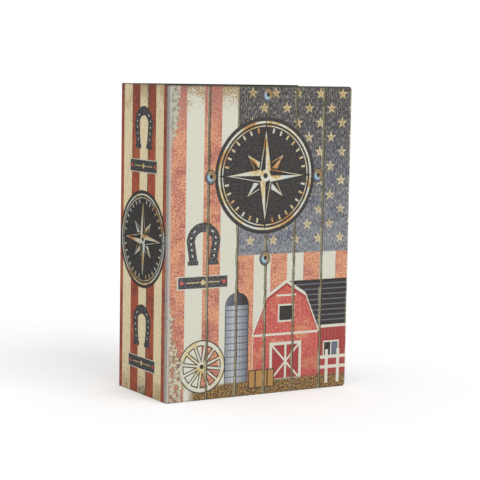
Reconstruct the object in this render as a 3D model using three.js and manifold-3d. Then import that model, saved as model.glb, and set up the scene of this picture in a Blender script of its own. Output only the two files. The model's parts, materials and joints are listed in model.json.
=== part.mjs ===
// A book diversion safe: a steel cash box with a key lock, hidden in a dummy book.
// Millimetres, +Z up. The spine faces -X, the front cover faces -Y, the book stands on z = 0
// and the origin is the middle of its footprint.
// Every solid is drawn in the book frame: x from the spine's outer face, y from the front
// cover's outer face, z from the foot. Groups then set the book on the origin and hold each
// moving body on its hinge line.

import * as THREE from 'three'
import { mergeVertices } from 'three/addons/utils/BufferGeometryUtils.js'
import Module from 'manifold-3d'

const wasm = await Module()
wasm.setup()

// The closed book
const bookHeight = 240
const bookWidth = 163.5
const bookThick = 80

// Cover boards, the printed wrap round them and the lining pasted inside
const boardThick = 2.5
const wrapThick = 0.5
const liningThick = 0.4
const glueGap = 0.25
const turnInWidth = 15
const liningMargin = 3
const foreCornerRadius = 2.5
const spineEdgeRadius = 2.3
const coverEdgeRadius = 1
const jointGap = 0.5

// The dummy pages: three strips set back from the cover edges
const pageSquare = 3
const pageThick = 6
const pageFrontGap = 0.5
const pageLineDepth = 0.5
const pageLineWidth = 0.9
const pageLineCount = 19

// The steel box and its lid
const steelThick = 1
const boxCornerRadius = 3
const seatGap = 0.3
const runGap = 0.4
const lidDrop = 2.8
const lidThick = 1
const lidFlangeThick = 1
const lidFlangeDepth = 8
const lidEdgeRadius = 1
const embossRise = 0.6
const embossSlope = 1.5
const embossMargin = 14
const padThick = 1.5
const padMargin = 1.5

// The piano hinge between box and lid
const barrelRadius = 2.2
const barrelGap = 1
const pinRadius = 1
const pinBoreRadius = 1.3
const pinHeadRadius = 1.8
const pinHeadThick = 0.8
const leafThick = 0.8
const leafWidth = 12
const leafSetback = 0.4
const hingeEndDistance = 10
const knuckleCount = 9
const knuckleGap = 0.4

// Rivets and screws
const rivetShankRadius = 1.5
const rivetHeadRadius = 3
const rivetHeadThick = 1
const rivetTailRadius = 2.3
const rivetTailThick = 1.2
const shankHoleGap = 0.3
const leafRivetCount = 4
const screwShankRadius = 1.5
const screwHeadRadius = 3.5
const screwHeadThick = 1.6
const screwEdgeDistance = 20
const screwHeadHoleGap = 0.7
const headFlatShare = 0.7
const headSideShare = 0.4
const domeShoulderShare = 0.6
const domeRiseShare = 0.8
const domeRimShare = 0.1
const recessWidth = 0.9
const recessLength = 4
const recessDepth = 0.8

// The cam lock
const lockFaceRadius = 9.5
const lockFaceThick = 1.8
const lockFaceChamfer = 0.6
const lockBarrelRadius = 6
const lockFlatWidth = 10
const lockBarrelDepth = 14
const lockHoleGap = 0.3
const plugRadius = 4.2
const plugGap = 0.2
const keywayWidth = 1.5
const keywayHeight = 6.2
const keywayDepth = 8.5
const nutWidth = 16
const nutThick = 3
const tailWidth = 5
const camThick = 1.5
const camWidth = 9
const camLength = 24
const camTipRadius = 2
const camHeelLength = 6
const camTipGap = 2
const camHoleGap = 0.2
const camScrewLength = 6
const camScrewShankRadius = 1.4
const camScrewHeadRadius = 3.4
const camScrewHeadThick = 1.8

// The keeper that the cam turns under
const keeperThick = 1.2
const keeperWidth = 18
const keeperTongueReach = 8
const keeperRimDistance = 4
const camKeeperGap = 0.5

// How finely round forms are drawn, and how far a cutter runs past what it cuts
const arcSteps = 4
const roundSteps = 20
const finePinSteps = 12
const cutOverrun = 1

// Layers of a cover, counted inward from its outer face
const boardOuter = wrapThick + glueGap
const boardInner = boardOuter + boardThick
const turnInOuter = boardInner + glueGap
const wrapDepth = turnInOuter + wrapThick
const liningOuter = wrapDepth + glueGap
const coverDepth = liningOuter + liningThick

// The spine stands between the two covers
const spineFront = wrapDepth + jointGap
const spineBack = bookThick - wrapDepth - glueGap
const coverHingeY = wrapDepth + jointGap / 2

// Pages
const pageFront = coverDepth + pageFrontGap
const pageBack = bookThick - coverDepth - seatGap
const pageOuterX = bookWidth - pageSquare
const pageInnerX = pageOuterX - pageThick
const pageStartX = coverDepth + seatGap

// Hinge, lid and box, from the spine outward and from the front cover back
const hingeX = coverDepth + barrelGap + barrelRadius
const lidTop = coverDepth + lidDrop
const lidUnder = lidTop + lidThick
const leafTop = lidTop - glueGap - leafThick
const hingeY = leafTop + barrelRadius
const leafStart = barrelRadius + leafSetback
const flangeRoom = runGap + lidFlangeThick + runGap
const boxLeft = hingeX + barrelRadius + glueGap
const boxRight = pageInnerX - flangeRoom
const boxLow = pageSquare + pageThick + flangeRoom
const boxHigh = bookHeight - boxLow
const hingeLow = boxLow + hingeEndDistance
const hingeLength = boxHigh - hingeEndDistance - hingeLow
const knuckleLength = (hingeLength - (knuckleCount - 1) * knuckleGap) / knuckleCount
const boxFront = lidUnder + seatGap
const boxBack = bookThick - coverDepth - seatGap
const boxFloor = boxBack - steelThick
const lidLeft = hingeX + leafStart
const lidRight = boxRight + runGap + lidFlangeThick
const lidLow = boxLow - runGap - lidFlangeThick
const lidHigh = bookHeight - lidLow
const lidRim = lidTop + lidFlangeDepth

// Lock, cam and keeper
const lockX = boxRight - steelThick - camTipGap - camLength
const lockZ = bookHeight / 2
const lockSeat = lidTop - glueGap
const lockFace = lockSeat - lockFaceThick
const lockEnd = lidUnder + lockBarrelDepth
const camFront = lockEnd + seatGap
const camBack = camFront + camThick
const tailEnd = camBack + seatGap
const keeperBack = camFront - camKeeperGap
const keeperWall = boxRight - steelThick - glueGap

const shades = {
  canvas: { color: 0xb9aa94, roughness: 0.85, metalness: 0 },
  board: { color: 0x8a6f52, roughness: 0.9, metalness: 0 },
  lining: { color: 0x1f1e1d, roughness: 0.8, metalness: 0 },
  pages: { color: 0x2b2926, roughness: 0.7, metalness: 0 },
  steel: { color: 0x26272a, roughness: 0.5, metalness: 0.4 },
  felt: { color: 0x17181a, roughness: 1, metalness: 0 },
  plated: { color: 0xb8bcc0, roughness: 0.3, metalness: 1 }
}

// A closed three.js geometry as a solid that can be joined and cut
function solidOf(geometry) {
  const plain = geometry.clone()
  plain.deleteAttribute('normal')
  plain.deleteAttribute('uv')
  const merged = mergeVertices(plain)
  const corners = Array.from(merged.index.array)
  const kept = []
  for (let at = 0; at < corners.length; at += 3) {
    const [a, b, c] = corners.slice(at, at + 3)
    if (a !== b && b !== c && c !== a) kept.push(a, b, c)
  }
  return new wasm.Manifold(new wasm.Mesh({
    numProp: 3,
    vertProperties: new Float32Array(merged.attributes.position.array),
    triVerts: new Uint32Array(kept)
  }))
}

// A solid back as a geometry that a mesh can show
function geometryOf(solid) {
  const mesh = solid.getMesh()
  const geometry = new THREE.BufferGeometry()
  geometry.setAttribute('position', new THREE.BufferAttribute(mesh.vertProperties, 3))
  geometry.setIndex(new THREE.BufferAttribute(mesh.triVerts, 1))
  geometry.computeVertexNormals()
  return geometry
}

function joined(solids) {
  return solids.reduce((sum, solid) => sum.add(solid))
}

function cutBy(solid, cutters) {
  return cutters.reduce((rest, cutter) => rest.subtract(cutter), solid)
}

// A quarter turn on an outline, or its plain corner where the radius is zero
function addCorner(shape, x, y, radius, quarter) {
  const start = quarter * Math.PI / 2
  if (radius > 0) shape.absarc(x, y, radius, start, start + Math.PI / 2, false)
  else shape.lineTo(x, y)
}

// Radii run round from the low left corner: low left, low right, high right, high left
function roundedOutline(left, low, right, high, radii) {
  const [lowLeft, lowRight, highRight, highLeft] = radii.map(radius => Math.max(radius, 0))
  const shape = new THREE.Shape()
  shape.moveTo(left + lowLeft, low)
  addCorner(shape, right - lowRight, low + lowRight, lowRight, 3)
  addCorner(shape, right - highRight, high - highRight, highRight, 0)
  addCorner(shape, left + highLeft, high - highLeft, highLeft, 1)
  addCorner(shape, left + lowLeft, low + lowLeft, lowLeft, 2)
  return shape
}

function extruded(shape, depth) {
  return new THREE.ExtrudeGeometry(shape, { depth, bevelEnabled: false, curveSegments: arcSteps })
}

// Prisms along each axis: outlines are drawn in (x, y), (x, z) and (y, z)
function prismZ(shape, low, high) {
  return solidOf(extruded(shape, high - low).translate(0, 0, low))
}

function prismY(shape, front, back) {
  return solidOf(extruded(shape, back - front).rotateX(Math.PI / 2).translate(0, back, 0))
}

function prismX(shape, left, right) {
  const geometry = extruded(shape, right - left)
  const turn = new THREE.Matrix4().makeBasis(
    new THREE.Vector3(0, 1, 0), new THREE.Vector3(0, 0, 1), new THREE.Vector3(1, 0, 0))
  return solidOf(geometry.applyMatrix4(turn).translate(left, 0, 0))
}

function block(low, high) {
  const size = high.map((value, axis) => value - low[axis])
  const middle = high.map((value, axis) => (value + low[axis]) / 2)
  return solidOf(new THREE.BoxGeometry(...size).translate(...middle))
}

// Rods along y and along x, from one place to another
function rodY(radius, x, z, front, back, steps = roundSteps) {
  const rod = new THREE.CylinderGeometry(radius, radius, back - front, steps)
  return solidOf(rod.translate(x, (front + back) / 2, z))
}

function rodX(radius, y, z, left, right, steps = roundSteps) {
  const rod = new THREE.CylinderGeometry(radius, radius, right - left, steps)
  return solidOf(rod.rotateZ(Math.PI / 2).translate((left + right) / 2, y, z))
}

function rodZ(radius, x, y, low, high, steps = roundSteps) {
  const rod = new THREE.CylinderGeometry(radius, radius, high - low, steps)
  return solidOf(rod.rotateX(Math.PI / 2).translate(x, y, (low + high) / 2))
}

// A profile of [radius, place along the axis] turned about the y axis
function turned(profile, steps = roundSteps) {
  return new THREE.LatheGeometry(profile.map(([radius, y]) => new THREE.Vector2(radius, y)), steps)
}

// A slab with rounded outline corners and rounded edges, as boards and pressed lids have
function softSlab({ left, right, front, back, low, high, corners, frontEdges, backEdges }) {
  const plan = roundedOutline(left, front, right, back,
    [frontEdges.left, frontEdges.right, backEdges.right, backEdges.left])
  const side = roundedOutline(front, low, back, high,
    [frontEdges.ends, backEdges.ends, backEdges.ends, frontEdges.ends])
  const face = roundedOutline(left, low, right, high, corners)
  return prismZ(plan, low, high)
    .intersect(prismX(side, left, right))
    .intersect(prismY(face, front, back))
}

// The space a cover fills, taken in from its outer faces by an inset
function coverSlab(inset, inner) {
  const edge = coverEdgeRadius - inset
  const corner = foreCornerRadius - inset
  return softSlab({
    left: inset,
    right: bookWidth - inset,
    front: inset,
    back: inner,
    low: inset,
    high: bookHeight - inset,
    corners: [0, corner, corner, 0],
    frontEdges: { left: spineEdgeRadius - inset, right: edge, ends: edge },
    backEdges: { left: 0, right: edge, ends: edge }
  })
}

// The four screws that hold the box: their places are alike from head and tail
function floorScrewPlaces() {
  const xs = [boxLeft + screwEdgeDistance, boxRight - screwEdgeDistance]
  const zs = [boxLow + screwEdgeDistance, boxHigh - screwEdgeDistance]
  return xs.flatMap(x => zs.map(z => [x, z]))
}

function floorScrewHoles(radius, front, back) {
  return floorScrewPlaces().map(([x, z]) => rodY(radius, x, z, front, back, finePinSteps))
}

function coverBoard(holes) {
  return cutBy(coverSlab(boardOuter, boardInner), holes)
}

// The printed sheet: over the face, round every edge and turned in on three sides
function coverWrap() {
  const window = block(
    [wrapThick, turnInOuter - cutOverrun, turnInWidth],
    [bookWidth - turnInWidth, wrapDepth + cutOverrun, bookHeight - turnInWidth])
  return cutBy(coverSlab(0, wrapDepth), [coverSlab(wrapThick, turnInOuter), window])
}

// The lining covers the turned in edges and drops onto the bare board between them
function coverLining(holes) {
  const left = coverDepth + glueGap
  const margin = turnInWidth + glueGap
  const sheet = block(
    [left, liningOuter, liningMargin],
    [bookWidth - liningMargin, coverDepth, bookHeight - liningMargin])
  const middle = block(
    [left, boardInner + glueGap, margin],
    [bookWidth - margin, coverDepth, bookHeight - margin])
  return cutBy(sheet.add(middle), holes)
}

function spineWrap() {
  const edge = coverEdgeRadius
  const inner = coverEdgeRadius - wrapThick
  const outside = roundedOutline(0, 0, wrapDepth, bookHeight, [edge, edge, edge, edge])
  const inside = roundedOutline(wrapThick, wrapThick, turnInOuter, bookHeight - wrapThick,
    [inner, inner, inner, inner])
  const cavity = prismY(inside, spineFront - cutOverrun, spineBack + cutOverrun)
  const window = block(
    [turnInOuter - cutOverrun, spineFront - cutOverrun, turnInWidth],
    [wrapDepth + cutOverrun, spineBack + cutOverrun, bookHeight - turnInWidth])
  return cutBy(prismY(outside, spineFront, spineBack), [cavity, window])
}

function spineBoard() {
  return block([boardOuter, spineFront, boardOuter], [boardInner, spineBack, bookHeight - boardOuter])
}

// Set back from the fold, so the lid's hinge leaf clears it when the lid leans back
function spineLining() {
  return block(
    [liningOuter, spineFront + liningMargin, liningMargin],
    [coverDepth, bookThick - coverDepth - glueGap, bookHeight - liningMargin])
}

// Outline of a page strip, [place across the pages, place outward], with its page lines
function pageOutline(inner, outer) {
  const inward = Math.sign(inner - outer)
  const points = [[pageFront, inner], [pageBack, inner], [pageBack, outer]]
  const pitch = (pageBack - pageFront) / (pageLineCount + 1)
  for (let line = pageLineCount; line > 0; line--) {
    const middle = pageFront + line * pitch
    points.push([middle + pageLineWidth / 2, outer])
    points.push([middle, outer + inward * pageLineDepth])
    points.push([middle - pageLineWidth / 2, outer])
  }
  points.push([pageFront, outer])
  return points
}

function shapeOf(points) {
  return new THREE.Shape(points.map(([x, y]) => new THREE.Vector2(x, y)))
}

function foreEdgePages() {
  const outline = pageOutline(pageInnerX, pageOuterX).map(([across, out]) => [out, across])
  return prismZ(shapeOf(outline), pageSquare, bookHeight - pageSquare)
}

function endPages(inner, outer) {
  return prismX(shapeOf(pageOutline(inner, outer)), pageStartX, pageInnerX - seatGap)
}

// The steel box, its floor against the back cover
function boxBody() {
  const outer = boxCornerRadius
  const inner = boxCornerRadius - steelThick
  const outside = roundedOutline(boxLeft, boxLow, boxRight, boxHigh, [outer, outer, outer, outer])
  const inside = roundedOutline(boxLeft + steelThick, boxLow + steelThick,
    boxRight - steelThick, boxHigh - steelThick, [inner, inner, inner, inner])
  return cutBy(prismY(outside, boxFront, boxBack), [
    prismY(inside, boxFront - cutOverrun, boxFloor),
    ...floorScrewHoles(screwShankRadius + shankHoleGap, boxFloor - cutOverrun, boxBack + cutOverrun),
    ...boxLeafHoles()
  ])
}

function floorPad() {
  const radius = boxCornerRadius - steelThick
  const margin = steelThick + padMargin
  const outline = roundedOutline(boxLeft + margin, boxLow + margin,
    boxRight - margin, boxHigh - margin, [radius, radius, radius, radius])
  const back = boxFloor - glueGap
  const front = back - padThick
  const holeRadius = screwHeadRadius + screwHeadHoleGap
  return cutBy(prismY(outline, front, back),
    floorScrewHoles(holeRadius, front - cutOverrun, back + cutOverrun))
}

function crossRecess(x, z, front, depth) {
  const half = recessWidth / 2
  const reach = recessLength / 2
  return joined([
    block([x - half, front - cutOverrun, z - reach], [x + half, front + depth, z + reach]),
    block([x - reach, front - cutOverrun, z - half], [x + reach, front + depth, z + half])
  ])
}

function floorScrew(x, z) {
  const seat = boxFloor - glueGap
  const front = seat - screwHeadThick
  const tip = bookThick - boardOuter - glueGap
  const profile = [
    [0, front], [screwHeadRadius * headFlatShare, front],
    [screwHeadRadius, seat - screwHeadThick * headSideShare], [screwHeadRadius, seat], [screwShankRadius, seat], [screwShankRadius, tip], [0, tip]
  ]
  const screw = solidOf(turned(profile, finePinSteps).translate(x, 0, z))
  return screw.subtract(crossRecess(x, z, front, recessDepth))
}

function floorScrews() {
  return floorScrewPlaces().map(([x, z]) => floorScrew(x, z))
}

// Evenly spaced places for the rivets of a hinge leaf
function leafRivetHeights() {
  const pitch = hingeLength / leafRivetCount
  return Array.from({ length: leafRivetCount }, (_, index) => hingeLow + (index + 0.5) * pitch)
}

const boxLeafFace = hingeX + barrelRadius
const boxLeafRivetY = hingeY + leafStart + leafWidth / 2
const lidLeafRivetX = hingeX + leafStart + leafWidth / 2

function boxLeafHoles() {
  const radius = rivetShankRadius + shankHoleGap
  const left = boxLeafFace - leafThick - cutOverrun
  const right = boxLeft + steelThick + cutOverrun
  return leafRivetHeights().map(z => rodX(radius, boxLeafRivetY, z, left, right, finePinSteps))
}

function lidLeafHoles() {
  const radius = rivetShankRadius + shankHoleGap
  return leafRivetHeights().map(z =>
    rodY(radius, lidLeafRivetX, z, leafTop - cutOverrun, lidUnder + cutOverrun, finePinSteps))
}

// A domed rivet along y through sheets that reach from front to back
function rivetGeometry(front, back) {
  const headSeat = front - glueGap
  const tailSeat = back + glueGap
  return turned([
    [0, headSeat - rivetHeadThick],
    [rivetHeadRadius * domeShoulderShare, headSeat - rivetHeadThick * domeRiseShare],
    [rivetHeadRadius, headSeat - rivetHeadThick * domeRimShare], [rivetHeadRadius, headSeat],
    [rivetShankRadius, headSeat], [rivetShankRadius, tailSeat], [rivetTailRadius, tailSeat],
    [rivetTailRadius, tailSeat + rivetTailThick], [0, tailSeat + rivetTailThick]
  ], finePinSteps)
}

function lidLeafRivets() {
  return leafRivetHeights().map(z =>
    solidOf(rivetGeometry(leafTop, lidUnder).translate(lidLeafRivetX, 0, z)))
}

// The same rivet turned onto the x axis, its head on the leaf beside the spine
function boxLeafRivets() {
  return leafRivetHeights().map(z => {
    const rivet = rivetGeometry(boxLeafFace - leafThick, boxLeft + steelThick)
    return solidOf(rivet.rotateZ(-Math.PI / 2).translate(0, boxLeafRivetY, z))
  })
}

// Knuckles share the barrel by turns; even ones belong to the box leaf
function knuckleSpans(parity) {
  const spans = []
  for (let index = parity; index < knuckleCount; index += 2) {
    const low = hingeLow + index * (knuckleLength + knuckleGap)
    spans.push([low, low + knuckleLength])
  }
  return spans
}

function knuckle(webShape, low, high) {
  const ring = rodZ(barrelRadius, hingeX, hingeY, low, high)
  const bore = rodZ(pinBoreRadius, hingeX, hingeY, low - cutOverrun, high + cutOverrun, finePinSteps)
  return ring.add(prismZ(webShape, low, high)).subtract(bore)
}

function boxLeaf() {
  const inner = boxLeafFace - leafThick
  const plate = block([inner, hingeY + leafStart, hingeLow],
    [boxLeafFace, hingeY + leafStart + leafWidth, hingeLow + hingeLength])
  const web = roundedOutline(inner, hingeY, boxLeafFace, hingeY + leafStart, [0, 0, 0, 0])
  const knuckles = knuckleSpans(0).map(([low, high]) => knuckle(web, low, high))
  return cutBy(joined([plate, ...knuckles]), boxLeafHoles())
}

function lidLeaf() {
  const plate = block([hingeX + leafStart, leafTop, hingeLow],
    [hingeX + leafStart + leafWidth, leafTop + leafThick, hingeLow + hingeLength])
  const web = roundedOutline(hingeX, leafTop, hingeX + leafStart, leafTop + leafThick, [0, 0, 0, 0])
  const knuckles = knuckleSpans(1).map(([low, high]) => knuckle(web, low, high))
  return cutBy(joined([plate, ...knuckles]), lidLeafHoles())
}

function hingePin() {
  const low = hingeLow - knuckleGap
  const high = hingeLow + hingeLength + knuckleGap
  return joined([
    rodZ(pinRadius, hingeX, hingeY, low - pinHeadThick, high + pinHeadThick, finePinSteps),
    rodZ(pinHeadRadius, hingeX, hingeY, low - pinHeadThick, low, finePinSteps),
    rodZ(pinHeadRadius, hingeX, hingeY, high, high + pinHeadThick, finePinSteps)
  ])
}

// Lid: a tray turned upside down over the box rim, open at the hinge side
function lidPanel() {
  const corner = boxCornerRadius + runGap + lidFlangeThick
  const inner = boxCornerRadius + runGap
  const tray = softSlab({
    left: lidLeft,
    right: lidRight,
    front: lidTop,
    back: lidRim,
    low: lidLow,
    high: lidHigh,
    corners: [0, corner, corner, 0],
    frontEdges: { left: 0, right: lidEdgeRadius, ends: lidEdgeRadius },
    backEdges: { left: 0, right: 0, ends: 0 }
  })
  const hollow = roundedOutline(lidLeft - cutOverrun, lidLow + lidFlangeThick,
    lidRight - lidFlangeThick, lidHigh - lidFlangeThick, [0, inner, inner, 0])
  const pressed = tray
    .subtract(prismY(hollow, lidUnder, lidRim + cutOverrun))
    .add(embossSlab(lidTop - embossRise, lidTop + lidThick / 2, 0))
    .subtract(embossSlab(lidUnder - embossRise, lidUnder + cutOverrun, 0))
  return cutBy(pressed, [...lidLeafHoles(), lockHole()])
}

// The pressed stiffening field between hinge leaf and lock, with sloping sides
function embossSlab(front, back) {
  const left = lidLeft + leafWidth + embossMargin
  const right = lockX - lockFaceRadius - embossMargin
  const low = lidLow + embossMargin
  const high = lidHigh - embossMargin
  const outline = roundedOutline(left, low, right, high,
    [boxCornerRadius, boxCornerRadius, boxCornerRadius, boxCornerRadius])
  const slab = new THREE.ExtrudeGeometry(outline, {
    depth: back - front - embossRise,
    bevelEnabled: true,
    bevelThickness: embossRise,
    bevelSize: embossSlope,
    bevelOffset: -embossSlope,
    bevelSegments: 1,
    curveSegments: arcSteps
  })
  return solidOf(slab.rotateX(Math.PI / 2).translate(0, back, 0))
    .intersect(block([left, front - cutOverrun, low], [right, back, high]))
}

function lockHole() {
  const radius = lockBarrelRadius + lockHoleGap
  const half = lockFlatWidth / 2 + lockHoleGap
  const front = lidTop - cutOverrun
  const back = lidUnder + cutOverrun
  return rodY(radius, lockX, lockZ, front, back)
    .intersect(block([lockX - half, front, lockZ - radius], [lockX + half, back, lockZ + radius]))
}

// Lock housing: a chamfered face and a barrel with two flats that stop it turning
function lockBody() {
  const bore = plugRadius + plugGap
  const housing = turned([
    [bore, lockEnd], [bore, lockFace], [lockFaceRadius - lockFaceChamfer, lockFace],
    [lockFaceRadius, lockFace + lockFaceChamfer], [lockFaceRadius, lockSeat],
    [lockBarrelRadius, lockSeat], [lockBarrelRadius, lockEnd], [bore, lockEnd]
  ])
  const flats = [-1, 1].map(side => {
    const near = lockX + side * lockFlatWidth / 2
    const far = lockX + side * (lockBarrelRadius + cutOverrun)
    return block([Math.min(near, far), lockSeat, lockZ - lockBarrelRadius],
      [Math.max(near, far), lockEnd + cutOverrun, lockZ + lockBarrelRadius])
  })
  return cutBy(solidOf(housing.translate(lockX, 0, lockZ)), flats)
}

function lockNut() {
  const front = lidUnder + glueGap
  const cornerRadius = nutWidth / 2 / Math.cos(Math.PI / 6)
  const bore = lockBarrelRadius + lockHoleGap
  return rodY(cornerRadius, lockX, lockZ, front, front + nutThick, 6)
    .subtract(rodY(bore, lockX, lockZ, front - cutOverrun, front + nutThick + cutOverrun))
}

function squareRod(width, front, back) {
  const half = width / 2
  return block([lockX - half, front, lockZ - half], [lockX + half, back, lockZ + half])
}

function lockPlug() {
  const keyway = block(
    [lockX - keywayWidth / 2, lockFace - cutOverrun, lockZ - keywayHeight / 2],
    [lockX + keywayWidth / 2, lockFace + keywayDepth, lockZ + keywayHeight / 2])
  const screwBore = rodY(camScrewShankRadius + shankHoleGap, lockX, lockZ,
    tailEnd - camScrewLength - seatGap, tailEnd + cutOverrun, finePinSteps)
  return rodY(plugRadius, lockX, lockZ, lockFace, lockEnd)
    .add(squareRod(tailWidth, lockEnd - cutOverrun, tailEnd))
    .subtract(keyway)
    .subtract(screwBore)
}

// Unlocked, the cam points up; turned a quarter clockwise it lies under the keeper
function lockCam() {
  const half = camWidth / 2
  const outline = roundedOutline(lockX - half, lockZ - camHeelLength, lockX + half, lockZ + camLength,
    [half, half, camTipRadius, camTipRadius])
  return prismY(outline, camFront, camBack)
    .subtract(squareRod(tailWidth + 2 * camHoleGap, camFront - cutOverrun, camBack + cutOverrun))
}

function camScrew() {
  const seat = tailEnd + seatGap
  const screw = turned([
    [0, tailEnd - camScrewLength], [camScrewShankRadius, tailEnd - camScrewLength],
    [camScrewShankRadius, seat], [camScrewHeadRadius, seat],
    [camScrewHeadRadius, seat + camScrewHeadThick * headSideShare],
    [camScrewHeadRadius * headFlatShare, seat + camScrewHeadThick], [0, seat + camScrewHeadThick]
  ], finePinSteps)
  return solidOf(screw.translate(lockX, 0, lockZ))
}

function lockKeeper() {
  const left = lockX + camLength - keeperTongueReach
  const front = boxFront + keeperRimDistance
  const outline = shapeOf([
    [keeperWall, front], [keeperWall, keeperBack], [left, keeperBack],
    [left, keeperBack - keeperThick], [keeperWall - keeperThick, keeperBack - keeperThick],
    [keeperWall - keeperThick, front]
  ])
  return prismZ(outline, lockZ - keeperWidth / 2, lockZ + keeperWidth / 2)
}

function piece(name, solid, shade) {
  const mesh = new THREE.Mesh(geometryOf(solid), new THREE.MeshStandardMaterial(shade))
  mesh.name = name
  return mesh
}

// Copies of one fastener, numbered from 1
function fasteners(name, solids, shade) {
  return solids.map((solid, index) => piece(`${name}_${index + 1}`, solid, shade))
}

// A group that turns about a line through a place, holding pieces drawn in the book frame
function hinged(x, y, z, pieces) {
  const pivot = new THREE.Group()
  pivot.position.set(x, y, z)
  const held = new THREE.Group()
  held.position.set(-x, -y, -z)
  held.add(...pieces)
  pivot.add(held)
  return pivot
}

function frontCover() {
  return hinged(0, coverHingeY, 0, [
    piece('front_board', coverBoard([]), shades.board),
    piece('front_wrap', coverWrap(), shades.canvas),
    piece('front_lining', coverLining([]), shades.lining)
  ])
}

// The back cover is the front one turned over about x
function backCover() {
  const radius = screwShankRadius + shankHoleGap
  const holes = floorScrewHoles(radius, boardOuter - cutOverrun, coverDepth + cutOverrun)
  const group = new THREE.Group()
  group.rotation.x = Math.PI
  group.position.set(0, bookThick, bookHeight)
  group.add(
    piece('back_board', coverBoard(holes), shades.board),
    piece('back_wrap', coverWrap(), shades.canvas),
    piece('back_lining', coverLining(holes), shades.lining)
  )
  return group
}

function lockCore() {
  return hinged(lockX, lockFace, lockZ, [
    piece('lock_plug', lockPlug(), shades.plated),
    piece('lock_cam', lockCam(), shades.plated),
    piece('cam_screw', camScrew(), shades.plated)
  ])
}

function innerLid() {
  return hinged(hingeX, hingeY, 0, [
    piece('lid_panel', lidPanel(), shades.steel),
    piece('hinge_lid_leaf', lidLeaf(), shades.steel),
    ...fasteners('lid_leaf_rivet', lidLeafRivets(), shades.plated),
    piece('lock_body', lockBody(), shades.plated),
    piece('lock_nut', lockNut(), shades.plated),
    lockCore()
  ])
}

function bookBody() {
  const headInner = bookHeight - pageSquare - pageThick
  const group = new THREE.Group()
  group.add(
    backCover(),
    piece('spine_board', spineBoard(), shades.board),
    piece('spine_wrap', spineWrap(), shades.canvas),
    piece('spine_lining', spineLining(), shades.lining),
    piece('fore_edge_pages', foreEdgePages(), shades.pages),
    piece('head_pages', endPages(headInner, headInner + pageThick), shades.pages),
    piece('tail_pages', endPages(pageSquare + pageThick, pageSquare), shades.pages),
    piece('box_body', boxBody(), shades.steel),
    piece('floor_pad', floorPad(), shades.felt),
    ...fasteners('floor_screw', floorScrews(), shades.plated),
    piece('hinge_box_leaf', boxLeaf(), shades.steel),
    ...fasteners('box_leaf_rivet', boxLeafRivets(), shades.plated),
    piece('hinge_pin', hingePin(), shades.plated),
    piece('lock_keeper', lockKeeper(), shades.steel)
  )
  return group
}

const book = new THREE.Group()
book.position.set(-bookWidth / 2, -bookThick / 2, 0)
book.add(bookBody(), frontCover(), innerLid())

export default book
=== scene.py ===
"""Looks of a book diversion safe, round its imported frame.

Metres, +Z up. The spine faces -X, the front cover faces -Y and the book stands on z = 0. The print on
the canvas is worked out in millimetres, in the sheet's own flat measure.
"""
import json
import logging
import math
from collections.abc import Callable, Iterable, Sequence
from dataclasses import dataclass
from enum import Enum
from typing import NamedTuple

import bmesh
import bpy
from mathutils import Matrix, Vector


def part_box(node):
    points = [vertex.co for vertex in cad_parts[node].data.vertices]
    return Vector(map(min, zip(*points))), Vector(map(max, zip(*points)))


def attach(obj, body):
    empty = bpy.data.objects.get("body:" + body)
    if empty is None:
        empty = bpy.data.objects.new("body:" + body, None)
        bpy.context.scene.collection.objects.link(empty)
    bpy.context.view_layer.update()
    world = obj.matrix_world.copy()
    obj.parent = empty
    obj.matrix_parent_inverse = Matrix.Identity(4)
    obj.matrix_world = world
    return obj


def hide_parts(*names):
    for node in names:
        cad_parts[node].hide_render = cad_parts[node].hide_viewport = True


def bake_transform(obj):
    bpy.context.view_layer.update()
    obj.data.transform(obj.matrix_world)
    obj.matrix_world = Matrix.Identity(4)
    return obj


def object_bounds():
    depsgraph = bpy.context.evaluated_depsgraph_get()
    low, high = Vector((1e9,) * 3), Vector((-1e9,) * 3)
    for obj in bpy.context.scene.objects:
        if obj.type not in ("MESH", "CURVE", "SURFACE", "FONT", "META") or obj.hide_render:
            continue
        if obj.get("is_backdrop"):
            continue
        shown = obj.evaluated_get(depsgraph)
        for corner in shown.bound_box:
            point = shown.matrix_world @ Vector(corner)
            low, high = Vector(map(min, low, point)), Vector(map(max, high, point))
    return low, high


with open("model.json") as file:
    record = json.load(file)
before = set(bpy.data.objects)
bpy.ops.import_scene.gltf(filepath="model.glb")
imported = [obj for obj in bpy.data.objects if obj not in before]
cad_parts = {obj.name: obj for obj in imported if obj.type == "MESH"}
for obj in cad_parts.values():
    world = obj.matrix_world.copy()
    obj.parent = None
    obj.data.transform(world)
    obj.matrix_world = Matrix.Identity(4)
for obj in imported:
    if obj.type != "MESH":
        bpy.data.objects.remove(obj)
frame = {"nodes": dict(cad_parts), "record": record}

log = logging.getLogger("book_safe")

MM = 0.001
TOUCH = 1e-6
CUT_TOUCH = 1e-7
OVERRUN = 1.0 * MM
QUARTER_TURN = math.pi / 2
PRINT_MAP = "print"

Colour = tuple[float, float, float, float]
Point = tuple[float, float]
Piece = bpy.types.Object
Material = bpy.types.Material
Node = bpy.types.Node
Socket = bpy.types.NodeSocket
Tree = bpy.types.NodeTree
Mesh = bmesh.types.BMesh
Vert = bmesh.types.BMVert
Face = bmesh.types.BMFace

SCREEN_WHITE = 255
CURVE_START, CURVE_SLOPE, CURVE_SHIFT, CURVE_POWER = 0.04045, 12.92, 0.055, 2.4
WHITE: Colour = (1.0, 1.0, 1.0, 1.0)
RIGHT, INTO, UP = (1, 0, 0), (0, 1, 0), (0, 0, 1)


class Body(Enum):
    """Bodies that pieces ride on."""

    BOOK = "book_body"
    COVER = "front_cover"
    LID = "inner_lid"
    CORE = "lock_core"


class Slot(Enum):
    """Material slots of the record."""

    CANVAS = "canvas_print"
    BOARD = "board"
    LINING = "black_lining"
    PAGES = "page_strip"
    STEEL = "black_steel"
    FELT = "felt"
    PLATED = "plated_steel"
    LOCK = "chromed_lock"


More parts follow.
